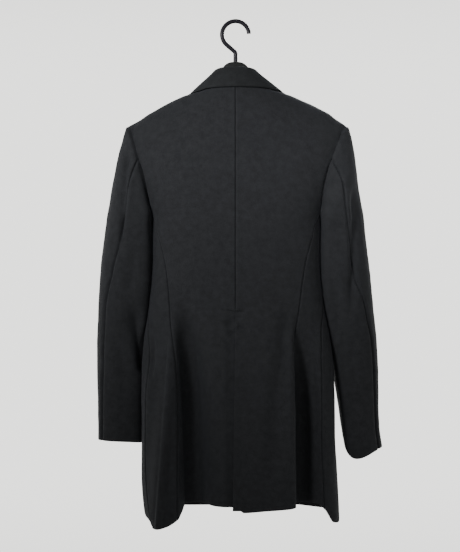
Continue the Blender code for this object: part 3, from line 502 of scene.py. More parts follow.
def arm_share(level):
    return (level - UNDERARM) / (SHOULDER - UNDERARM)


def arm_x(side, level):
    share = arm_share(level)
    return ARM_FOOT[side] + (ARM_TOP[side] - ARM_FOOT[side]) * share - ARM_BOW[side] * 4 * share * (1 - share)


def arm_half_depth(level):
    return ARM_HALF_DEPTH * np.sqrt(np.maximum(1 - (2 * arm_share(level) - 1) ** 2, 0.0))


def depth(level, face):
    return np.where(face > 0, depth_back(level), depth_front(level))


def half_width(side, level, face):
    power = square(level)
    cut = np.minimum((arm_half_depth(level) / depth(level, face)) ** power, 0.999)
    beside_arm = arm_x(side, level) / (1 - cut) ** (1 / power)
    return np.where(level >= SHOULDER, ridge_x[side](level),
                    np.where(level <= UNDERARM, widths[side](level), beside_arm))


def turn_at_x(side, level, x, face):
    power = square(level)
    share = np.minimum((np.abs(x) / half_width(side, level, face)) ** power, 0.999999)
    turn = np.arctan((share / (1 - share)) ** (1 / power))
    turn = np.where(x >= 0, turn, -turn)
    return np.where(face > 0, turn, pi - turn)


def turn_at_armhole(level, face):
    power = square(level)
    reach = np.maximum(arm_half_depth(level), 1e-7)
    share = (depth(level, face) / reach) ** power - 1
    turn = np.arctan(share ** (1 / power))
    return turn if face > 0 else pi - turn


def fold_push(side, face, x, z):
    push = np.zeros_like(x)
    for fold in FOLDS:
        if fold.side != side:
            continue
        along = np.clip((fold.start - z) / (fold.start - HEM_LEVEL), 0.0, 1.0)
        centre = fold.top_x + (fold.hem_x - fold.top_x) * along
        spread = np.where(x < centre, fold.inner, fold.outer)
        bulge = fold.depth * np.exp(-((x - centre) / spread) ** 2) * ramp(fold.start, fold.full, z)
        push += np.where(face == fold.face, bulge * fold.face, 0.0)
    return push


def torso(side, turn, level):
    """Points on the outer face of the body."""
    turn, level = np.broadcast_arrays(np.asarray(turn, float), np.asarray(level, float))
    across, ahead = np.sin(turn), np.cos(turn)
    face = np.where(ahead >= 0, 1, -1)
    power = square(level)
    radius = (np.abs(ahead) ** power + np.abs(across) ** power) ** (-1 / power)
    x = half_width(side, level, face) * radius * across
    y = depth(level, face) * radius * ahead
    lift = (ridge_z[side](level) - level) * np.where(face > 0, across ** 2, 1.0)
    z = level + np.where(level > SHOULDER, lift, 0.0)
    pushed = fold_push(side, face, x, z) * ramp(*FACE_FADE, np.abs(ahead))
    y = y + np.where(level < UNDERARM, pushed, 0.0)
    return np.stack((side * x, y, z), axis=-1)


PROBE = 0.0005
PROBE_TURN = radians(0.4)


def torso_normal(side, turn, level):
    turn, level = np.broadcast_arrays(np.asarray(turn, float), np.asarray(level, float))
    upper = np.minimum(level + PROBE, NECK)
    lower = level - PROBE
    crossing = (lower < SHOULDER) & (SHOULDER < upper)
    upper = np.where(crossing & (level < SHOULDER), level, upper)
    lower = np.where(crossing & (level >= SHOULDER), level, lower)
    rise = torso(side, turn, upper) - torso(side, turn, lower)
    along = torso(side, turn + PROBE_TURN, level) - torso(side, turn - PROBE_TURN, level)
    return unit(np.cross(rise, along) * side)


def spread(length, spacing=SPACING, start=True, end=True):
    """Shares of a length, close together at its marked ends."""
    first = EDGE_STEPS if start else (0.0,)
    last = [length - step for step in reversed(EDGE_STEPS)] if end else [length]
    count = max(int(round((last[0] - first[-1]) / spacing)), 1)
    middle = np.linspace(first[-1], last[0], count + 1)[1:-1]
    return np.concatenate((first, middle, last)) / length


def edge_turn_between(side, level, seam_at_waist, face):
    """Edge of a back or front: shoulder seam, armhole, then the seam that leaves the armhole."""
    foot = arm_level(SEAM_TURN)
    at_foot = turn_at_armhole(np.array(foot), face)
    between = at_foot + (seam_at_waist(np.array(WAIST_ROW)) - at_foot) * (foot - level) / (foot - WAIST_ROW)
    arm = turn_at_armhole(np.clip(level, foot, SHOULDER), face)
    below = np.where(level > WAIST_ROW, between, seam_at_waist(np.minimum(level, WAIST_ROW)))
    return np.where(level > SHOULDER, pi / 2, np.where(level >= foot, arm, below))


def princess_turn(side):
    return lambda level: turn_at_x(side, level, princess[side](level), 1)


def side_turn(side):
    return lambda level: np.radians(side_seam[side](level))


def front_edge(side):
    return lambda level: turn_at_x(side, level, roll[side](level), -1)


def back_outer(side):
    return lambda level: edge_turn_between(side, level, princess_turn(side), 1)


def front_outer(side):
    return lambda level: edge_turn_between(side, level, side_turn(side), -1)


def vent_edge(side):
    def at(level):
        if side > 0:
            reach = UNDERLAP * ramp(*UNDERLAP_ROWS, level)
        else:
            reach = VENT_LAP * (level - VENT_TOP) / (HEM_LEVEL - VENT_TOP)
        return np.where(level > VENT_TOP, 0.0, turn_at_x(side, level, -reach, 1))

    return at


def body_levels():
    """Levels of the rows from the neck to the vent's top, and the shares of the skirt below."""
    shoulder = np.linspace(NECK, SHOULDER, SHOULDER_ROWS)[:-1]
    arm = arm_level(np.arange(0.0, SEAM_TURN + 0.1, ARM_STEP))
    below = np.linspace(arm[-1], VENT_TOP, WAIST_ROWS)[1:]
    skirt = spread(SKIRT_LENGTH, start=False)[1:]
    return np.concatenate((shoulder, arm, below)), skirt


def grid_turns(side, start_turn, end_turn, shares, levels, skirt):
    """Turns and levels of a panel's grid."""
    upper_level = np.repeat(levels[:, None], len(shares), axis=1)
    start, end = start_turn(levels)[:, None], end_turn(levels)[:, None]
    upper_turn = start + (end - start) * shares
    hem_start, hem_end = start_turn(np.array(HEM_LEVEL)), end_turn(np.array(HEM_LEVEL))
    bottom = hem[side](np.degrees(hem_start + (hem_end - hem_start) * shares))
    lower_level = VENT_TOP + (bottom[None, :] - VENT_TOP) * skirt[:, None]
    start, end = start_turn(lower_level), end_turn(lower_level)
    lower_turn = start + (end - start) * shares
    return np.vstack((upper_turn, lower_turn)), np.vstack((upper_level, lower_level))


def relax(points, levels, fade):
    """Soften the line that runs in from the shoulder point; the edges stay."""
    share = ramp(*SOFT_START, levels) * ramp(*SOFT_END, levels)
    share = 0.5 * share[1:-1] * ramp(*fade, np.abs(points[1:-1, :, 0]))
    share[:, [0, -1]] = 0
    for _ in range(SOFT_ROUNDS):
        middle = (points[:-2] + points[2:]) / 2
        points[1:-1] += (middle - points[1:-1]) * share[..., None]
    return points


def creased(table, x, z):
    """Push of a table's creases at points of the picture plane."""
    push = np.zeros_like(x)
    for crease in table:
        lengths = np.linalg.norm(np.diff(crease.line, axis=0), axis=1)
        total = lengths.sum()
        nearest = np.full(x.shape, 9.0)
        away = np.zeros_like(x)
        along = np.zeros_like(x)
        gone = 0.0
        for start, end, length in zip(crease.line, crease.line[1:], lengths):
            run = (end - start) / length
            t = (x - start[0]) * run[0] + (z - start[1]) * run[1]
            held = np.clip(t, 0, length)
            distance = np.hypot(x - start[0] - run[0] * held, z - start[1] - run[1] * held)
            closer = distance < nearest
            nearest = np.where(closer, distance, nearest)
            away = np.where(closer, run[0] * (z - start[1]) - run[1] * (x - start[0]), away)
            along = np.where(closer, gone + held, along)
            gone += length
        width = np.where(away > 0, crease.plus, crease.minus)
        ends = ramp(0, crease.head, along) * ramp(total, total - crease.foot, along)
        push += crease.depth * np.exp(-(nearest / width) ** 2) * ends
    return push


def unevenness(points, seed, size=0.045, amount=0.0006):
    """Slight irregular waviness of the cloth."""
    flat = points.reshape(-1, 3)
    shift = Vector((seed * 7.31, seed * 3.17, seed * 5.77))
    values = [noise.noise(Vector(p) / size + shift) + 0.5 * noise.noise(Vector(p) / (size * 0.4) + shift)
              for p in flat]
    return (np.array(values) * amount).reshape(points.shape[:-1])


def lengths_from(points, axis, from_end):
    """Distance of each grid point from an edge, measured along the grid."""
    steps = np.linalg.norm(np.diff(points, axis=axis), axis=-1)
    if from_end:
        steps = np.flip(steps, axis=axis)
    run = np.cumsum(steps, axis=axis)
    zero = np.zeros_like(np.take(run, [0], axis=axis))
    run = np.concatenate((zero, run), axis=axis)
    return np.flip(run, axis=axis) if from_end else run


def seam_push(seam, distance):
    """Groove at a seam and the low rise beside it."""
    return (-seam.depth * np.exp(-(distance / seam.half) ** 2)
            + seam.rise * ramp(seam.half, seam.near, distance) * ramp(seam.far, seam.near, distance))


def edge_round(distance, thickness):
    """How far each face falls back at a folded or turned edge."""
    radius = thickness * EDGE_ROUND
    near = np.clip(radius - distance, 0, radius)
    return radius - np.sqrt(np.maximum(radius ** 2 - near ** 2, 0))


def add_piece(name, data, surface, stands_for=None):
    """Object that rides on the body, with its material and the solid it replaces."""
    data.materials.append(surface)
    piece = bpy.data.objects.new(name, data)
    bpy.context.scene.collection.objects.link(piece)
    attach(piece, "root")
    if stands_for:
        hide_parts(stands_for)
    return piece


def shell(name, points, normals, push, seams, edges, surface, hem_end=False, thickness=CLOTH):
    """Closed shell on a grid. seams lists an edge, its seam and a mask; edges maps an edge to a mask."""
    where = {"top": (0, False), "bottom": (0, True), "start": (1, False), "end": (1, True)}
    thick = np.full(push.shape, thickness)
    if hem_end:
        inside = lengths_from(points, 0, True)
        thick = thick + HEM_STEP * ramp(HEM_ALLOWANCE + HEM_BLEND, HEM_ALLOWANCE - HEM_BLEND, inside)
    fall = np.zeros_like(push)
    for edge, seam, mask in seams:
        push = push + seam_push(seam, lengths_from(points, *where[edge])) * mask
    for edge, mask in edges.items():
        fall = np.maximum(fall, edge_round(lengths_from(points, *where[edge]), thick) * mask)
    outer = points + normals * (push - fall)[..., None]
    inner = points + normals * (push - thick + fall)[..., None]
    count = push.size
    index = np.arange(count).reshape(push.shape)
    quads = np.stack((index[:-1, :-1], index[:-1, 1:], index[1:, 1:], index[1:, :-1]), axis=-1).reshape(-1, 4)
    border = np.concatenate((index[0, :-1], index[:-1, -1], index[-1, :0:-1], index[:0:-1, 0]))
    after = np.roll(border, -1)
    rim = np.stack((after, border, border + count, after + count), axis=-1)
    faces = np.vstack((quads, quads[:, ::-1] + count, rim))
    vertices = np.vstack((outer.reshape(-1, 3), inner.reshape(-1, 3)))
    first = quads[len(quads) // 2]
    corner = vertices[first]
    flat_normal = np.cross(corner[1] - corner[0], corner[2] - corner[0])
    if flat_normal @ normals.reshape(-1, 3)[first[0]] < 0:
        faces = faces[:, ::-1]
    mesh = bpy.data.meshes.new(name + "_cloth")
    mesh.from_pydata(vertices.tolist(), [], faces.tolist())
    layer = mesh.uv_layers.new(name="cloth")
    flat_uv = np.stack([np.tile(lengths_from(points, axis, False).ravel(), 2) for axis in (1, 0)], axis=-1)
    corners = np.zeros(len(mesh.loops), np.int32)
    mesh.loops.foreach_get("vertex_index", corners)
    layer.data.foreach_set("uv", flat_uv[corners].astype(np.float32).ravel())
    mesh.shade_smooth()
    add_piece(name + "_cloth", mesh, surface, name)


def feed(tree, node, inputs):
    """Set a node's inputs to values, or link them to the outputs given."""
    for name, value in inputs.items():
        if isinstance(value, bpy.types.NodeSocket):
            tree.links.new(value, node.inputs[name])
        else:
            node.inputs[name].default_value = value


def add_node(tree, kind, inputs, **settings):
    """New shader node with its settings and inputs; gives its outputs."""
    node = tree.nodes.new("ShaderNode" + kind)
    for name, value in settings.items():
        setattr(node, name, value)
    feed(tree, node, inputs)
    return node.outputs


def maths(tree, operation, *inputs):
    return add_node(tree, "Math", dict(enumerate(inputs)), operation=operation)["Value"]


def remap(tree, value, start, end, low, high, shape="LINEAR"):
    """Map start to low and end to high."""
    limits = {"From Min": start, "From Max": end, "To Min": low, "To Max": high}
    return add_node(tree, "MapRange", {"Value": value, **limits}, interpolation_type=shape)["Result"]


def new_material(name):
    material = bpy.data.materials.new(name)
    material.use_nodes = True
    return material, material.node_tree


def dress(tree, colour, share, height, strength, distance, finish):
    """Tint the colour by a share, raise the surface by a height and set the rest of the finish."""
    tint = add_node(tree, "VectorMath", {0: colour, "Scale": share}, operation="SCALE")["Vector"]
    relief = add_node(tree, "Bump", {"Strength": strength, "Distance": distance, "Height": height})["Normal"]
    feed(tree, tree.nodes["Principled BSDF"], {"Base Color": tint, "Normal": relief, **finish})


def wool(name, colour, grain_turn):
    """Fine dark worsted: twill ribs, mottled yarns and a soft nap."""
    material, tree = new_material(name)
    place = add_node(tree, "UVMap", {}, uv_map="cloth")["UV"]
    turned = add_node(tree, "Mapping", {"Vector": place, "Rotation": (0, 0, radians(grain_turn))})["Vector"]
    ribs = {"Vector": turned, "Scale": 700.0, "Distortion": 1.2, "Detail": 1.0, "Detail Scale": 2.0}
    twill = add_node(tree, "TexWave", ribs, wave_type="BANDS", bands_direction="DIAGONAL")["Fac"]
    fine = {"Vector": turned, "Scale": 520.0, "Detail": 4.0, "Roughness": 0.6}
    yarn = add_node(tree, "TexNoise", fine)["Fac"]
    space = add_node(tree, "TexCoord", {})["Object"]
    coarse = {"Vector": space, "Scale": 95.0, "Detail": 5.0, "Roughness": 0.65}
    cloud = add_node(tree, "TexNoise", coarse)["Fac"]
    share = remap(tree, maths(tree, "ADD", yarn, cloud), 0.6, 1.4, 0.60, 1.42)
    dress(tree, colour, share, maths(tree, "ADD", twill, yarn), 0.30, 0.0004,
          {"Roughness": 0.82, "Specular IOR Level": 0.10, "Sheen Weight": 0.05, "Sheen Roughness": 0.45,
           "Sheen Tint": (0.80, 0.86, 1.0, 1.0)})
    return material


def polished(name, colour, roughness, grain, specular=0.5):
    """Moulded plastic or horn, with faint cloudiness."""
    material, tree = new_material(name)
    place = add_node(tree, "TexCoord", {})["Object"]
    cloud = add_node(tree, "TexNoise", {"Vector": place, "Scale": grain, "Detail": 5.0})["Fac"]
    gloss = remap(tree, cloud, 0.0, 1.0, roughness - 0.06, roughness + 0.06)
    dress(tree, colour, remap(tree, cloud, 0.0, 1.0, 0.75, 1.35), cloud, 0.06, 0.0003,
          {"Specular IOR Level": specular, "Roughness": gloss})
    return material


def stitched(name, colour, scale):
    """Close stitches of silk thread, side by side along x."""
    material, tree = new_material(name)
    place = add_node(tree, "TexCoord", {})["Object"]
    strand = {"Vector": place, "Scale": scale, "Distortion": 0.8}
    strand = add_node(tree, "TexWave", strand, bands_direction="X")["Fac"]
    dress(tree, colour, remap(tree, strand, 0.0, 1.0, 0.45, 1.4), strand, 0.6, 0.0002,
          {"Roughness": 0.45, "Specular IOR Level": 0.25})
    return material


WOOL_COLOUR = (0.0140, 0.0147, 0.0165)
thread = stitched("silk_thread", (0.012, 0.012, 0.014), 520.0)
cloth_straight = wool("wool_straight", WOOL_COLOUR, 0)
cloth_turned = wool("wool_turned", WOOL_COLOUR, 24)
# The collar is the same wool as the rest, with its colour painted darker: painted shade that offsets the key
# light falling on the collar from above
cloth_collar_painted_shade = wool("wool_collar", (0.0118, 0.0126, 0.0136), 24)
horn = polished("button_horn", (0.012, 0.012, 0.013), 0.30, 160.0)
plastic = polished("hanger_plastic", (0.0125, 0.0132, 0.0132), 0.50, 60.0, 0.08)
rod_plastic = polished("hook_plastic", (0.013, 0.012, 0.016), 0.28, 60.0, 0.09)


def body_push(table, points, turns, seed):
    weight = ramp(*FACE_FADE, np.abs(np.cos(turns)))
    return creased(table, points[..., 0], points[..., 2]) * weight + unevenness(points, seed)


def beside_armhole(heights):
    """1 along the armhole, 0 along the seams above and below it."""
    foot = arm_level(SEAM_TURN)
    return ramp(*ARM_FADE_TOP, heights) * ramp(foot + ARM_FADE_FOOT[0], foot + ARM_FADE_FOOT[1], heights)


def build_back(side):
    levels, skirt = body_levels()
    shares = spread(PANEL_WIDTHS["back"])
    if side > 0:
        shares = cubic(*UNDERLAP_COLUMNS)(shares)
    turns, heights = grid_turns(side, vent_edge(side), back_outer(side), shares, levels, skirt)
    points = torso(side, turns, heights)
    normals = torso_normal(side, turns, heights)
    if side > 0:
        dip = ramp(*VENT_DIP, points[..., 0]) * ramp(*VENT_DIP_ROWS, heights)
        points = points - normals * (LAYER * dip)[..., None]
    points = relax(points, heights, SOFT_BACK)
    push = body_push(BACK_CREASES, points, turns, 1 if side > 0 else 2)
    above = heights > VENT_TOP
    if side < 0:
        beside = lengths_from(points, 1, False)
        push = push + VENT_OPEN * np.exp(-(beside / VENT_OPEN_SPREAD) ** 2) * ramp(*VENT_OPEN_ROWS, heights)
    arm = beside_armhole(heights)
    shell("back_" + SIDES[side], points, normals, push,
          [("start", CENTRE, above), ("end", PLAIN, 1 - arm), ("end", ARMHOLE, arm), ("top", PLAIN, True)],
          {"start": ~above, "bottom": True}, cloth_straight, hem_end=True)


def build_side(side):
    levels, skirt = body_levels()
    levels = np.concatenate(([WAIST_ROW], levels[levels < WAIST_ROW]))
    shares = spread(PANEL_WIDTHS["side"])
    turns, heights = grid_turns(side, princess_turn(side), side_turn(side), shares, levels, skirt)
    arc = SEAM_TURN + (360 - 2 * SEAM_TURN) * shares
    arc_level = arm_level(arc)
    arc_turn = np.where(arc <= 180, turn_at_armhole(arc_level, 1), turn_at_armhole(arc_level, -1))
    steps = np.array(EDGE_STEPS) / SIDE_TOP
    steps = np.concatenate((steps, np.linspace(steps[-1], 1, SIDE_TOP_ROWS)[1:-1]))[:, None]
    turns = np.vstack((arc_turn + (turns[0] - arc_turn) * steps, turns))
    heights = np.vstack((arc_level + (WAIST_ROW - arc_level) * steps, heights))
    points = torso(side, turns, heights)
    normals = torso_normal(side, turns, heights)
    push = body_push(BACK_CREASES, points, turns, 3 if side > 0 else 4)
    shell("side_" + SIDES[side], points, normals, push,
          [("start", PLAIN, True), ("end", PLAIN, True), ("top", ARMHOLE, True)], {"bottom": True},
          cloth_straight, hem_end=True)


def front_dip(side, points, levels):
    """Share by which the left front passes under the right one."""
    if side < 0:
        return np.zeros_like(levels)
    return ramp(*FRONT_DIP, points[..., 0]) * ramp(*FRONT_DIP_ROWS, levels)


def build_front(side):
    levels, skirt = body_levels()
    shares = spread(PANEL_WIDTHS["front"])
    turns, heights = grid_turns(side, front_outer(side), front_edge(side), shares, levels, skirt)
    points = torso(side, turns, heights)
    normals = torso_normal(side, turns, heights)
    dip = np.where(turns > pi / 2, front_dip(side, points, heights), 0.0)
    points = points - normals * (LAYER * dip)[..., None]
    points = relax(points, heights, SOFT_FRONT)
    seed = 5 if side > 0 else 6
    push = np.where(np.cos(turns) < 0, body_push(FRONT_CREASES, points, turns, seed),
                    body_push(BACK_CREASES, points, turns, seed))
    arm = beside_armhole(heights)
    shell("front_" + SIDES[side], points, normals, push,
          [("start", PLAIN, 1 - arm), ("start", ARMHOLE, arm), ("top", PLAIN, True)],
          {"end": True, "bottom": True}, cloth_straight, hem_end=True)


def sleeve_points(side, turn, place):
    """Points on the outer face of a sleeve."""
    ring = {column: values(place) for column, values in rings[side].items()}
    outward = np.cos(np.radians(turn))
    share = (1 + outward) / 2
    reach = np.sin(np.radians(turn))
    drop = np.where(reach > 0, reach * (1 - CUFF_SKEW[side] * outward), reach * FRONT_CUFF)
    bow = ARM_BOW[side] * 4 * share * (1 - share) * ramp(*BOW_RINGS, place)
    flat = (1 - np.abs(outward) ** PRESSED) ** (1 / PRESSED)
    corner = (share < 0.5) & (reach > 0)
    reach = np.where(corner, reach + (flat - reach) * ramp(*CORNER_RINGS, place), reach)
    x = ring["inner_x"] + (ring["outer_x"] - ring["inner_x"]) * share - bow
    y = ring["mid_y"] + ring["half_depth"] * reach
    z = ring["inner_z"] + (ring["outer_z"] - ring["inner_z"]) * share + ring["back_drop"] * drop
    return np.stack((side * x, y, z), axis=-1)


def sleeve_base(side, turn, place):
    """Sleeve points, straight between the armhole and the first free ring."""
    free = sleeve_points(side, turn, np.maximum(place, FIRST_RING))
    start = sleeve_points(side, turn, np.zeros_like(place))
    share = np.clip(place / FIRST_RING, 0, 1)[..., None]
    return start + (free - start) * share


def sleeve_places():
    """Places down a sleeve, evenly spaced by length, close together at both ends."""
    fine = np.linspace(0, len(SLEEVE[1]) - 1, 600)
    line = sleeve_points(1, np.full_like(fine, 45.0), fine)
    run = np.concatenate(([0], np.cumsum(np.linalg.norm(np.diff(line, axis=0), axis=1))))
    return np.interp(spread(run[-1]) * run[-1], run, fine)


def build_sleeve(side, upper):
    places = sleeve_places()
    shares = spread(PANEL_WIDTHS["sleeve"])
    elbow = rings[side]["elbow"](places)
    seam = np.full_like(places, FRONT_SLEEVE_SEAM)
    first = seam - 360.0 if upper else elbow
    final = elbow if upper else seam
    turns = first[:, None] + (final - first)[:, None] * shares[None, :]
    place_grid = np.repeat(places[:, None], len(shares), axis=1)
    points = sleeve_base(side, turns, place_grid)
    last = len(SLEEVE[side]) - 1
    down = (sleeve_base(side, turns, np.minimum(place_grid + RING_STEP, last))
            - sleeve_base(side, turns, np.maximum(place_grid - RING_STEP, 0)))
    along = sleeve_base(side, turns + 1, place_grid) - sleeve_base(side, turns - 1, place_grid)
    normals = unit(np.cross(down, along) * side)
    wrapped = np.mod(turns, 360)
    level = np.clip(arm_level(wrapped), UNDERARM + 2 * PROBE, SHOULDER - 2 * PROBE)
    at_hole = np.where(wrapped <= 180, turn_at_armhole(level, 1), turn_at_armhole(level, -1))
    hole_normal = torso_normal(side, at_hole, level)
    share = ramp(0.0, 1.0, place_grid)[..., None]
    normals = unit(hole_normal * (1 - share) + normals * share)
    back = np.sin(np.radians(turns))
    push = (creased(SLEEVE_BACK_CREASES, points[..., 0], points[..., 2]) * ramp(0.05, 0.35, back)
            + creased(SLEEVE_FRONT_CREASES, points[..., 0], points[..., 2]) * ramp(-0.05, -0.35, back)
            + unevenness(points, 7 + side, amount=0.0008) * ramp(0.0, 1.5, place_grid)
            + NESTLE * ramp(*NESTLE_COSINE, np.cos(np.radians(turns))) * ramp(*NESTLE_TOP, place_grid)
            * ramp(*NESTLE_FOOT, place_grid))
    name = ("upper_sleeve_" if upper else "under_sleeve_") + SIDES[side]
    seams = (PLAIN, ELBOW) if upper else (ELBOW, PLAIN)
    shell(name, points, normals, push,
          [("start", seams[0], True), ("end", seams[1], True), ("top", SLEEVE_HEAD, True)],
          {"bottom": True}, cloth_straight, hem_end=True)


def standing_profile(side, station):
    """Points of the collar's wall where it stands, from its foot over the roll to the fall's edge."""
    foot_turn = radians(station.foot_turn)
    foot = torso(side, foot_turn, station.foot_level)
    foot = foot - torso_normal(side, foot_turn, station.foot_level) * (CLOTH / 2)
    foot[2] += CLOTH / 2
    crown = np.array((side * station.roll_x, station.roll_y, station.roll_z))
    edge_turn = radians(station.edge_turn)
    edge = torso(side, edge_turn, station.edge_level)
    seat = FALL_SEAT_LOW + (FALL_SEAT - FALL_SEAT_LOW) * ramp(*FALL_SEAT_SPAN, abs(edge[0]))
    edge = edge + torso_normal(side, edge_turn, station.edge_level) * (COLLAR_CLOTH / 2 + seat)
    out = unit((edge - crown) * (1, 1, 0))
    drop = np.array((0, 0, -ROLL_RADIUS))
    inside = crown - out * ROLL_RADIUS + drop
    outside = crown + out * ROLL_RADIUS + drop
    puff = unit(out + np.array((0, 0, 1.0))) * FALL_PUFF
    return [foot, foot * 0.45 + inside * 0.55, inside, crown, outside, (outside + edge) / 2 + puff, edge]


def lying_profile(side, station):
    """The same points where the collar lies on the front beside the lapel."""
    def above(turn, level, lift):
        return torso(side, turn, level) + torso_normal(side, turn, level) * (CLOTH / 2 + lift)

    level = station.foot_level
    roll_turn = front_edge(side)(level)
    foot_turn = turn_at_x(side, level, roll[side](level) + STAND_TUCK, -1)
    edge_turn = radians(station.edge_turn)
    fold = 2 * ROLL_RADIUS + STAND_SEAT
    inward = above(roll_turn, level, fold / 2) - above(foot_turn, level, fold / 2)
    crown = above(roll_turn, level, fold / 2) + unit(inward) * ROLL_RADIUS
    return [above(foot_turn, level, STAND_SEAT), above((foot_turn + roll_turn) / 2, level, STAND_SEAT),
            above(roll_turn, level, STAND_SEAT), crown, above(roll_turn, level, fold),
            above((roll_turn + edge_turn) / 2, (level + station.edge_level) / 2, fold),
            above(edge_turn, station.edge_level, COLLAR_CLOTH / 2 - CLOTH / 2 + FALL_SEAT_LOW)]


def collar_line(side, place):
    """Smooth centre line of the folded wall from foot to fall edge."""
    station = Station(*[float(collar_rows[column](place)) for column in Station._fields])
    line = np.array(standing_profile(side, station))
    if station.lift > 0:
        lying = np.array(lying_profile(side, station))
        hump = np.array((0, -1, 1)) / 2 ** 0.5 * (CORNER_RISE * 4 * station.lift * (1 - station.lift))
        line = line + (lying - line) * station.lift + hump * np.array(CORNER_SHARES)[:, None]
    return through(line, COLLAR_PARTS)


def through(line, parts):
    """Smooth curve through points, with so many steps in each span."""
    result = []
    for i, count in enumerate(parts):
        p1, p2 = line[i], line[i + 1]
        p0 = line[i - 1] if i > 0 else 2 * p1 - p2
        p3 = line[i + 2] if i + 2 < len(line) else 2 * p2 - p1
        span = np.linalg.norm(p2 - p1)
        m1 = (p2 - p0) / (np.linalg.norm(p1 - p0) + span) * span
        m2 = (p3 - p1) / (np.linalg.norm(p3 - p2) + span) * span
        for k in range(count):
            t = k / count
            result.append((2 * t ** 3 - 3 * t ** 2 + 1) * p1 + (t ** 3 - 2 * t ** 2 + t) * m1
                          + (3 * t ** 2 - 2 * t ** 3) * p2 + (t ** 3 - t ** 2) * m2)
    result.append(line[-1])
    return np.array(result)


def grid_normals(points):
    """Normals from a grid's own neighbours."""
    down = np.gradient(points, axis=1)
    along = np.gradient(points, axis=0)
    return unit(np.cross(down, along))


ALL_EDGES = dict.fromkeys(("start", "end", "top", "bottom"), True)


def build_collar():
    places = np.linspace(0, len(COLLAR) - 1, COLLAR_LINES)
    lines = [collar_line(-1, place) for place in places[:0:-1]] + [collar_line(1, place) for place in places]
    points = np.array(lines)
    normals = grid_normals(points)
    push = unevenness(points, 11, amount=0.0003) + COLLAR_CLOTH / 2
    shell("collar", points, normals, push, [], ALL_EDGES, cloth_collar_painted_shade, thickness=COLLAR_CLOTH)


def build_lapel(side):
    falls = spread(LAPEL_LENGTH, LAPEL_SPACING)[:, None]
    shares = spread(LAPEL_SPREAD, LAPEL_SPACING)[None, :]
    row_level = LAPEL_TOP + (BREAK - LAPEL_TOP) * falls
    width = lapel_width[side](row_level)
    level = row_level - GORGE_SLOPE * width * shares * (1 - falls) ** 2
    turn = turn_at_x(side, level, roll[side](row_level) + width * shares, -1)
    points = torso(side, turn, level)
    normals = torso_normal(side, turn, level)
    dip = front_dip(side, points, level)
    lift = CLOTH + LAPEL_LIFT + LAPEL_PUFF * np.sin(pi * shares) * (1 - falls) - LAYER * dip
    push = np.broadcast_to(lift, level.shape) + unevenness(points, 12 + side, amount=0.0004)
    shell("lapel_" + SIDES[side], points, normals, push, [], ALL_EDGES, cloth_turned)


def strands(name, runs, radius, surface, stands_for=None, cyclic=False, resolution=3):
    """Rounded strands through runs of points, as one piece."""
    data = bpy.data.curves.new(name, "CURVE")
    data.dimensions = "3D"
    data.bevel_depth = radius
    data.bevel_resolution = resolution
    data.use_fill_caps = not cyclic
    for run in runs:
        spline = data.splines.new("POLY")
        spline.points.add(len(run) - 1)
        for target, point in zip(spline.points, run):
            target.co = (*point, 1)
        spline.use_cyclic_u = cyclic
    return add_piece(name, data, surface, stands_for)


def build_hook():
    points = []
    for turn in np.radians(np.linspace(LOOP_START, LOOP_END, LOOP_POINTS)):
        points.append((-LOOP_RADIUS * cos(turn), 0, LOOP_CENTRE + LOOP_RADIUS * sin(turn)))
    last = np.array(points[-1])
    bend = np.array((0, 0, STEM_TOP))
    tail = [last, last + (bend - last) * 0.5, last + (bend - last) * 0.88, bend + (0.0002, 0, -0.001),
            bend + (0, 0, -0.004), np.array((0, 0, HANGER_NECK + HANGER_GAP))]
    points += [tuple(p) for p in through(np.array(tail), (4, 4, 6, 4, 6))[1:]]
    strands("hook_rod", [points], HOOK_RADIUS, rod_plastic, "hook", resolution=6)


def tube(name, rings, falling=False):
    """Mesh through rings of points, closed at both ends. Falling rings are listed from the top down."""
    count = len(rings[0])
    faces = []
    for i in range(0, (len(rings) - 1) * count, count):
        for k in range(count):
            after = (k + 1) % count
            quad = (i + k, i + after, i + count + after, i + count + k)
            faces.append((quad[0], *quad[:0:-1]) if falling else quad)
    first, last = range(count), range((len(rings) - 1) * count, len(rings) * count)
    faces += [tuple(first), tuple(last[::-1])] if falling else [tuple(first[::-1]), tuple(last)]
    mesh = bpy.data.meshes.new(name)
    mesh.from_pydata([point for ring in rings for point in ring], [], faces)
    return mesh


def hanger_top(side, x):
    """Top line of the hanger: the raised neck, then under the shoulder cloth."""
    line = ridge_line[side]
    slope = (line(x + PROBE) - line(x - PROBE)) / (2 * PROBE)
    under_cloth = line(x) - (CLOTH + HANGER_GAP) * np.sqrt(1 + slope ** 2) - HANGER_SEAT
    neck_point = RIDGE[0].left_x + NECK_RUN
    if x >= neck_point:
        return float(under_cloth)
    if x <= HUMP_HALF:
        return HANGER_NECK - HUMP_FALL * (x / HUMP_HALF) ** HUMP_POWER
    start = HANGER_NECK - HUMP_FALL
    share = (x - HUMP_HALF) / (neck_point - HUMP_HALF)
    return start + (hanger_top(side, neck_point) - start) * (1 - (1 - share) ** SWEEP)


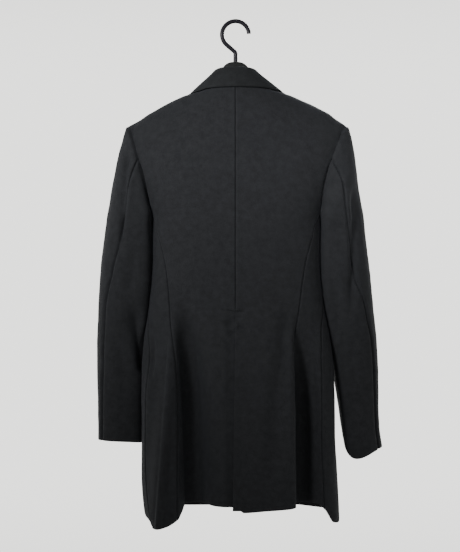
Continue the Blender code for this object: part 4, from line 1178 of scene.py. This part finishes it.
def build_hanger():
    """Moulded bar with rounded corners, ends and neck."""
    inset = BAR_THICKNESS / 2 - BAR_CORNER
    arc = np.radians(np.linspace(0, 90, 6))
    arm = np.concatenate((np.linspace(NECK_SPREAD[0], ARM_END - ARM_ROUND - 0.002, 40),
                          ARM_END - ARM_ROUND * (1 - np.cos(np.radians(np.linspace(90, 6, 7))))))
    rings = []
    for place in np.concatenate((-arm[::-1], np.linspace(-NECK_END, NECK_END, 55), arm)):
        x = abs(place)
        top = hanger_top(1 if place > 0 else -1, x)
        low = top - BAR_HEIGHT - NECK_HEIGHT * float(ramp(*NECK_SPREAD, x))
        past = min(max((x - ARM_END + ARM_ROUND) / ARM_ROUND, 0.0), 1.0)
        shrink = 1 - (1 - past ** 2) ** 0.5
        top -= ARM_SHRINK * shrink + BAR_CORNER
        low += ARM_SHRINK * shrink + BAR_CORNER
        squeeze = 1 - 0.5 * shrink
        ring = []
        for y, z, start in ((inset, top, 0), (-inset, top, 90), (-inset, low, 180), (inset, low, 270)):
            for turn in arc + radians(start):
                ring.append((place, (y + BAR_CORNER * cos(turn)) * squeeze, z + BAR_CORNER * sin(turn)))
        rings.append(ring)
    mesh = tube("hanger_bar", rings)
    mesh.shade_smooth()
    add_piece("hanger_bar", mesh, plastic, "hanger")


def drilled(mesh, turn, places):
    """The mesh with a round hole through each place, along the turned z axis."""
    blank = bpy.data.objects.new("blank", mesh)
    bpy.context.scene.collection.objects.link(blank)
    drills = []
    for place in places:
        bpy.ops.mesh.primitive_cylinder_add(vertices=24, radius=HOLE_RADIUS, depth=DRILL_LENGTH)
        drill = bpy.context.object
        drill.matrix_world = turn.to_4x4()
        drill.location = place
        cut = blank.modifiers.new("hole", "BOOLEAN")
        cut.object = drill
        cut.operation = "DIFFERENCE"
        drills.append(drill)
    bpy.context.view_layer.update()
    result = bpy.data.meshes.new_from_object(blank.evaluated_get(bpy.context.evaluated_depsgraph_get()))
    result.materials.clear()
    for used in (*drills, blank):
        bpy.data.objects.remove(used, do_unlink=True)
    return result


def build_button(number):
    """Horn button with a raised rim, a dished middle and four holes, sewn on with two rows of thread."""
    name = "button_%d" % number
    low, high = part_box(name)
    out = torso_normal(1, pi, BUTTON_HEIGHTS[number - 1])
    seat = Vector((np.array(low) + np.array(high)) / 2 - out * (BUTTON_THICKNESS / 2))
    turn = Vector(out).to_track_quat("Z", "Y").to_matrix()

    def at(x, y, z):
        return tuple(turn @ Vector((x, y, z)) + seat)

    angles = [2 * pi * k / BUTTON_SIDES for k in range(BUTTON_SIDES)]
    rings = []
    for share, rise in BUTTON_PROFILE:
        radius = max(share, 0.001) * BUTTON_RADIUS
        circle = [(radius * cos(angle), radius * sin(angle)) for angle in angles]
        rings.append([at(x, y, rise * BUTTON_THICKNESS) for x, y in circle])
    mesh = drilled(tube(name + "_horn", rings, falling=True), turn,
                   [at(x * HOLE_PLACE, y * HOLE_PLACE, 0) for x, y in ((-1, -1), (1, -1), (1, 1), (-1, 1))])
    mesh.shade_smooth()
    mesh.set_sharp_from_angle(angle=radians(38))
    add_piece(name + "_horn", mesh, horn, name)
    runs = []
    foot = BUTTON_PROFILE[0][1] * BUTTON_THICKNESS - THREAD_SINK
    for row in (-1, 1):
        for strand in (-1, 0, 1):
            y = row * HOLE_PLACE + strand * THREAD_STEP
            runs.append([at(share * HOLE_PLACE, y, foot + THREAD_RISE * (1 - share ** 4))
                         for share in np.linspace(-1, 1, 13)])
    strands(name + "_thread", runs, THREAD_RADIUS, thread)


def build_buttonhole(number):
    """Worked buttonhole: stitches round a slit in the right front."""
    outer, inner, half = BUTTONHOLE
    ring = []
    for angle in 2 * pi * np.arange(64) / 64:
        x = (outer - half if cos(angle) > 0 else inner + half) + half * cos(angle)
        level = BUTTON_HEIGHTS[number - 1] + half * sin(angle)
        turn = turn_at_x(-1, level, -x, -1)
        ring.append(tuple(torso(-1, turn, level) + torso_normal(-1, turn, level) * STITCH_LIFT))
    strands("buttonhole_%d" % number, [ring], STITCH_RADIUS, thread, cyclic=True)


def build_tack():
    """Short bar of stitches that closes the vent's top."""
    run = []
    for x in np.linspace(*TACK, 9):
        run.append(tuple(torso(-1, turn_at_x(-1, VENT_TOP, -x, 1), VENT_TOP) + TACK_SINK))
    strands("vent_tack", [run], STITCH_RADIUS, thread)


for side in (1, -1):
    build_back(side)
    build_side(side)
    build_front(side)
    build_lapel(side)
    build_sleeve(side, True)
    build_sleeve(side, False)
build_collar()
build_hook()
build_hanger()
for number in (1, 2, 3):
    build_button(number)
    build_buttonhole(number)
build_tack()

# Floor, light and camera
FLOOR_LEVEL = -1.300
HORIZON_GLOW = 2.2
SKY_GLOW = 0.15
ROOM_SHARE = 0.52
bpy.ops.mesh.primitive_circle_add(vertices=96, radius=1.45, fill_type="NGON", location=(0, 0, FLOOR_LEVEL))
floor = bpy.context.object
floor.name = "floor"
floor_material, floor_tree = new_material("floor_paint")
paint = {"Base Color": (0.80, 0.79, 0.76, 1.0), "Roughness": 0.9}
feed(floor_tree, floor_tree.nodes["Principled BSDF"], paint)
floor.data.materials.append(floor_material)

world = bpy.data.worlds.new("studio")
world.use_nodes = True
sky = world.node_tree
direction = add_node(sky, "TexCoord", {})["Generated"]
parts = add_node(sky, "SeparateXYZ", {"Vector": direction})
height = maths(sky, "ABSOLUTE", parts["Z"])
band = remap(sky, height, 0.14, 0.50, HORIZON_GLOW, SKY_GLOW, "SMOOTHSTEP")
room = remap(sky, parts["Y"], -0.30, 0.70, 1.0, ROOM_SHARE, "SMOOTHSTEP")
strength = maths(sky, "MULTIPLY", band, room)
feed(sky, sky.nodes["Background"], {"Color": (0.98, 0.98, 0.95, 1.0), "Strength": strength})
bpy.context.scene.world = world


def lamp(name, place, target, size, power, spread_angle):
    data = bpy.data.lights.new(name, "AREA")
    data.spread = radians(spread_angle)
    data.shape = "DISK"
    data.size = size
    data.energy = power
    lamp_object = bpy.data.objects.new(name, data)
    lamp_object.location = place
    lamp_object.rotation_euler = (Vector(target) - Vector(place)).to_track_quat("-Z", "Y").to_euler()
    bpy.context.scene.collection.objects.link(lamp_object)


lamp("key", (0.94, 1.31, 0.16), (-0.04, 0, -0.24), 0.40, 2.7, 46)
lamp("right", (-0.55, 1.75, 0.05), (-0.23, 0, -0.27), 0.20, 0.22, 18)
lamp("front", (-0.3, -1.6, 0.40), (0, 0, -0.35), 0.60, 6, 90)

camera_data = bpy.data.cameras.new("camera")
camera_data.lens = 83.35
camera_data.sensor_fit = "VERTICAL"
camera_data.sensor_height = 36.0
camera = bpy.data.objects.new("camera", camera_data)
camera.location = (0.0102, 2.370, -0.469)
camera.rotation_euler = (pi / 2, 0, pi)
bpy.context.scene.collection.objects.link(camera)
bpy.context.scene.camera = camera
